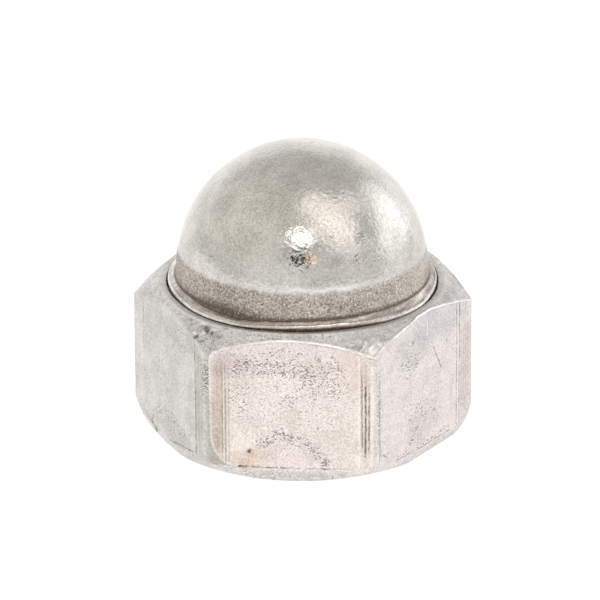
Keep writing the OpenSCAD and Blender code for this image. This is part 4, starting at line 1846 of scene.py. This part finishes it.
    def shade(self, marks: Socket, shine: Socket) -> None:
        """Join the grain and the marks to the shader.

        Args:
            marks: How dark the marks make the metal, with the painted shade that the mesh carries.
            shine: How bright they make it, mostly with painted highlights.
        """
        graph, finish = self.graph, self.finish
        grime = graph.attribute(Mark.GRIME.value).outputs["Fac"]
        stain = graph.attribute(Mark.STAIN.value).outputs["Fac"]
        if finish.drag > 0.0:
            ragged = graph.remap(graph.noise(self.sheet, 3.5, 3.0, 0.7), 0.4, 0.54, 0.3, 1.0)
            marks = graph.math("MULTIPLY", marks, ragged)
        grain = graph.group(self.effects.grain, Place=self.place, Cloud_Size=finish.cloud_size,
                            Speckle_Size=finish.speckle_size)
        cloud, speckle = grain.outputs["Cloud"], grain.outputs["Speckle"]
        pits, lips = self.scattered_pits(cloud)
        dark = graph.math("MAXIMUM", marks, graph.math("MULTIPLY", pits, 0.75), clamp=True)
        dark = graph.math("MULTIPLY", dark, graph.remap(speckle, 0.0, 0.6, 0.75, 1.0))
        # Painted glints on the brightest specks, and painted highlights on the pits' lower lips.
        glint = graph.math("MULTIPLY_ADD", grime, finish.glint, 0.3 * finish.glint)
        glints = graph.math("MULTIPLY", graph.remap(speckle, 0.78, 1.0), glint)
        bright = graph.math("MULTIPLY_ADD", lips, 0.6, graph.math("ADD", shine, glints), clamp=True)

        colour = self.grained_tint(cloud, speckle, grime)
        colour = graph.blend(graph.math("MULTIPLY", stain, 0.8), colour, (*finish.stain_colour, 1.0))
        colour = graph.blend(graph.math("MULTIPLY", dark, 0.85), colour, (*finish.dark_colour, 1.0))
        colour = graph.blend(bright, colour, (*finish.bright_colour, 1.0))
        rough = graph.remap(cloud, 0.0, 1.0, finish.roughness + finish.roughness_swing, finish.roughness)
        dulling = graph.math("MULTIPLY", grime, finish.grime_roughness - finish.roughness)
        rough = graph.math("ADD", rough, dulling)
        rough = graph.math("ADD", rough, graph.math("MULTIPLY", dark, 0.2))

        shader = graph.node("ShaderNodeBsdfPrincipled")
        shader.inputs["Metallic"].default_value = 1.0
        shader.inputs["Specular Tint"].default_value = (*finish.edge_tint, 1.0)
        graph.feed(shader.inputs["Base Color"], colour)
        graph.feed(shader.inputs["Roughness"], rough)
        graph.feed(shader.inputs["Normal"], self.relief(speckle, pits))
        output = graph.node("ShaderNodeOutputMaterial")
        graph.feed(output.inputs["Surface"], shader.outputs[0])


# ---------------------------------------------------------------- studio and camera


@dataclass(frozen=True)
class CameraPlan:
    """Where the camera stands. Angles in degrees, and lengths in millimetres."""

    elevation: float = 23.2
    azimuth: float = 4.722
    roll: float = 0.324
    distance: float = 340.0
    across: float = -0.1754
    upwards: float = 6.97
    view_width: float = 34.712
    sensor: float = 36.0

    def axes(self) -> tuple[Vector, Vector, Vector]:
        """The camera's right, up and backward directions."""
        e, a, roll = (math.radians(angle) for angle in (self.elevation, self.azimuth, self.roll))
        back = Vector((math.sin(a) * math.cos(e), -math.cos(a) * math.cos(e), math.sin(e)))
        right = Vector((math.cos(a), math.sin(a), 0.0))
        up = back.cross(right)
        return (right * math.cos(roll) - up * math.sin(roll),
                right * math.sin(roll) + up * math.cos(roll), back)

    def build(self) -> None:
        """Make the scene's camera."""
        right, up, back = self.axes()
        data = bpy.data.cameras.new("camera")
        data.sensor_width = self.sensor
        data.lens = self.sensor * self.distance / self.view_width
        data.clip_start, data.clip_end = 0.01, 20.0
        camera = bpy.data.objects.new("camera", data)
        spin = Matrix((right, up, back)).transposed().to_4x4()
        place = (right * self.across + up * self.upwards + back * self.distance) * MM
        camera.matrix_world = Matrix.Translation(place) @ spin
        bpy.context.scene.collection.objects.link(camera)
        bpy.context.scene.camera = camera


@dataclass(frozen=True)
class Softbox:
    """A soft lamp, by its direction from the middle of the object.

    Directions are given to the right of, above and behind the camera's view. Widths and heights
    are the degrees that the lamp spans, and long is the direction of its height.
    """

    name: str
    way: tuple[float, float, float]
    width: float
    height: float
    radiance: float
    colour: Colour = (1.0, 1.0, 1.0)
    long: tuple[float, float, float] = (0.0, 1.0, 0.0)
    distance: float = 420.0


SOFTBOXES = (
    Softbox("key_above", (-0.02, 0.388, 0.921), 19.0, 13.0, 2.8, (1.0, 0.985, 0.975)),
    Softbox("strip_right", (0.865, 0.464, -0.188), 34.0, 38.0, 0.88, (0.98, 0.99, 1.0),
            (-0.324, 0.463, -0.298)),
    Softbox("fill_right", (0.417, 0.603, 0.68), 31.0, 48.0, 1.38, (1.0, 0.92, 0.89), (-0.558, 0.51, -0.165)),
)


@dataclass(frozen=True)
class Reflected:
    """A round patch of the surroundings, by its direction, that only polished metal shows.

    half_angle is in degrees, and core is the share of it over which the patch has its full colour.
    """

    way: tuple[float, float, float]
    half_angle: float
    colour: Colour
    core: float = 0.75


REFLECTED = (
    Reflected((0.698, 0.716, -0.019), 25.0, (1.46, 1.47, 1.56), 0.2),
    Reflected((0.626, 0.093, 0.775), 15.0, (1.4, 1.36, 1.33), 0.1),
    Reflected((0.979, 0.063, 0.193), 13.0, (1.4, 1.4, 1.43), 0.1),
    Reflected((-0.067, -0.982, 0.179), 17.0, (1.16, 1.15, 1.14), 0.1),
    Reflected((-0.68, -0.219, 0.7), 58.0, (1.1, 1.09, 1.04), 0.05),
    Reflected((-0.042, -0.896, 0.442), 4.7, (0.0, 0.0, 0.0), 0.6),
    Reflected((0.061, -0.894, 0.444), 4.6, (0.0, 0.0, 0.0), 0.6),
    Reflected((0.164, -0.889, 0.428), 4.2, (0.25, 0.22, 0.2), 0.3),
    Reflected((0.226, -0.866, 0.446), 3.2, (2.6, 1.7, 0.75), 0.5),
)


class Studio:
    """Pale floor, soft world light and softboxes."""

    # Sizes of the lamps that make up each softbox, one before another, so that it fades at its
    # edge, and the share of its distance that each is nearer than the last.
    FADE = (1.5, 1.3, 1.1, 0.9, 0.7, 0.45)
    STAGGER = 0.01
    FLOOR_HALF = 1.6
    PAPER = (0.8, 0.8, 0.8, 1.0)
    WHITE = (1.0, 1.0, 1.0, 1.0)
    HORIZON = (1.0, 1.0, 0.99, 1.0)
    WALL_BEHIND = (1.32, 1.32, 1.33, 1.0)
    CEILING = (0.74, 0.73, 0.71, 1.0)

    def __init__(self, camera: CameraPlan) -> None:
        """Keep the camera's plan, whose directions place the softboxes."""
        self.camera = camera

    def floor(self) -> None:
        """Lay the floor, whose unshadowed part shows as white."""
        mesh = bpy.data.meshes.new("floor")
        half = self.FLOOR_HALF
        corners = [(-half, -half, 0.0), (half, -half, 0.0), (half, half, 0.0), (-half, half, 0.0)]
        mesh.from_pydata(corners, [], [(0, 1, 2, 3)])
        floor = bpy.data.objects.new("floor", mesh)
        bpy.context.scene.collection.objects.link(floor)
        material = bpy.data.materials.new("paper")
        material.use_nodes = True
        material.node_tree.nodes.clear()
        graph = Graph(material.node_tree)
        paper = graph.node("ShaderNodeBsdfDiffuse")
        paper.inputs["Color"].default_value = self.PAPER
        glow = graph.node("ShaderNodeEmission")
        glow.inputs["Color"].default_value = self.WHITE
        rays = graph.node("ShaderNodeLightPath")
        seen = graph.math("MAXIMUM", rays.outputs["Is Camera Ray"], rays.outputs["Is Glossy Ray"])
        share = graph.math("MULTIPLY", seen, 0.74)
        graph.feed(glow.inputs["Strength"], graph.remap(rays.outputs["Is Glossy Ray"], 0.0, 1.0, 1.22, 1.45))
        mix = graph.node("ShaderNodeMixShader")
        graph.feed(mix.inputs[0], share)
        graph.feed(mix.inputs[1], paper.outputs[0])
        graph.feed(mix.inputs[2], glow.outputs[0])
        output = graph.node("ShaderNodeOutputMaterial")
        graph.feed(output.inputs["Surface"], mix.outputs[0])
        mesh.materials.append(material)

    def world(self) -> None:
        """Light the scene all round: white at the horizon, and greyer overhead."""
        world = bpy.data.worlds.new("studio")
        bpy.context.scene.world = world
        world.use_nodes = True
        world.node_tree.nodes.clear()
        graph = Graph(world.node_tree)
        split = graph.node("ShaderNodeSeparateXYZ")
        graph.feed(split.inputs[0], graph.node("ShaderNodeTexCoord").outputs["Generated"])
        overhead = graph.remap(split.outputs["Z"], 0.1, 0.9)
        behind = graph.remap(split.outputs["Y"], 0.0, 0.9)
        wall = graph.blend(overhead, graph.blend(behind, self.HORIZON, self.WALL_BEHIND), self.CEILING)
        for patch in REFLECTED:
            far = graph.vector("DISTANCE", graph.node("ShaderNodeTexCoord").outputs["Generated"], patch.way)
            half = math.radians(patch.half_angle)
            part = graph.remap(far, patch.core * half, 1.15 * half, 1.0, 0.0)
            wall = graph.blend(part, wall, (*patch.colour, 1.0))
        rays = graph.node("ShaderNodeLightPath")
        colour = graph.blend(rays.outputs["Is Camera Ray"], wall, self.WHITE)
        seen = graph.math("MAXIMUM", rays.outputs["Is Camera Ray"], rays.outputs["Is Glossy Ray"])
        seen = graph.math("MAXIMUM", seen, rays.outputs["Is Transmission Ray"])
        sky = graph.node("ShaderNodeBackground")
        graph.feed(sky.inputs["Color"], colour)
        graph.feed(sky.inputs["Strength"], graph.remap(seen, 0.0, 1.0, 0.8, 1.0))
        output = graph.node("ShaderNodeOutputWorld")
        graph.feed(output.inputs["Surface"], sky.outputs[0])

    def lamps(self) -> None:
        """Set up the softboxes, each facing the middle of the object."""
        right, up, back = self.camera.axes()
        low, high = CAD_BOX
        middle = (Vector(low) + Vector(high)) / 2.0
        whole = sum(share * share for share in self.FADE)
        for box in SOFTBOXES:
            way = (right * box.way[0] + up * box.way[1] + back * box.way[2]).normalized()
            side = (right * box.long[0] + up * box.long[1] + back * box.long[2]).cross(way).normalized()
            turn = Matrix((side, way.cross(side), way)).transposed().to_4x4()
            for index, share in enumerate(self.FADE):
                reach = box.distance * MM * (1.0 - self.STAGGER * index)
                data = bpy.data.lights.new(box.name, "AREA")
                data.shape = "ELLIPSE"
                data.size = 2.0 * reach * math.tan(math.radians(share * box.width / 2.0))
                data.size_y = 2.0 * reach * math.tan(math.radians(share * box.height / 2.0))
                area = math.pi / 4.0 * data.size * data.size_y
                data.energy = box.radiance / whole * math.pi * area
                data.color = box.colour
                lamp = bpy.data.objects.new(box.name, data)
                lamp.matrix_world = Matrix.Translation(middle + way * reach) @ turn
                bpy.context.scene.collection.objects.link(lamp)

    def build(self) -> None:
        """Build the whole studio."""
        self.floor()
        self.world()
        self.lamps()
        bpy.context.scene.view_settings.view_transform = "Standard"


# ---------------------------------------------------------------- the whole scene


def place(piece: bpy.types.Object, node: str, slot: str, finish: SteelMaterial) -> None:
    """Hand a finished piece to the frame in place of its CAD node.

    Args:
        piece: The piece.
        node: Name of the CAD node that it stands for.
        slot: The record's material slot of its finish; not used.
        finish: Material of the piece.
    """
    piece.data.materials.append(finish.material)
    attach(piece, "root")
    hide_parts(node)
    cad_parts[node].data.materials.clear()
    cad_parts[node].data.materials.append(finish.material)
    log.info("%s stands for %s", piece.name, node)


def main() -> None:
    """Build the camera, the studio and both pieces."""
    logging.basicConfig(level=logging.INFO, format="%(name)s: %(message)s")
    camera = CameraPlan()
    camera.build()
    Studio(camera).build()
    effects = Effects()
    nut = HexBody(NutSizes.measured("hex_nut"), FLAT_LOOKS).build()
    place(nut, "hex_nut", "nut_steel", SteelMaterial(NUT_FINISH, effects, FLAT_LOOKS))
    cap = DomedCap(CapSizes.measured("domed_cap"), CAP_TINT).build()
    place(cap, "domed_cap", "cap_steel", SteelMaterial(CAP_FINISH, effects))


if __name__ == "__main__":
    main()
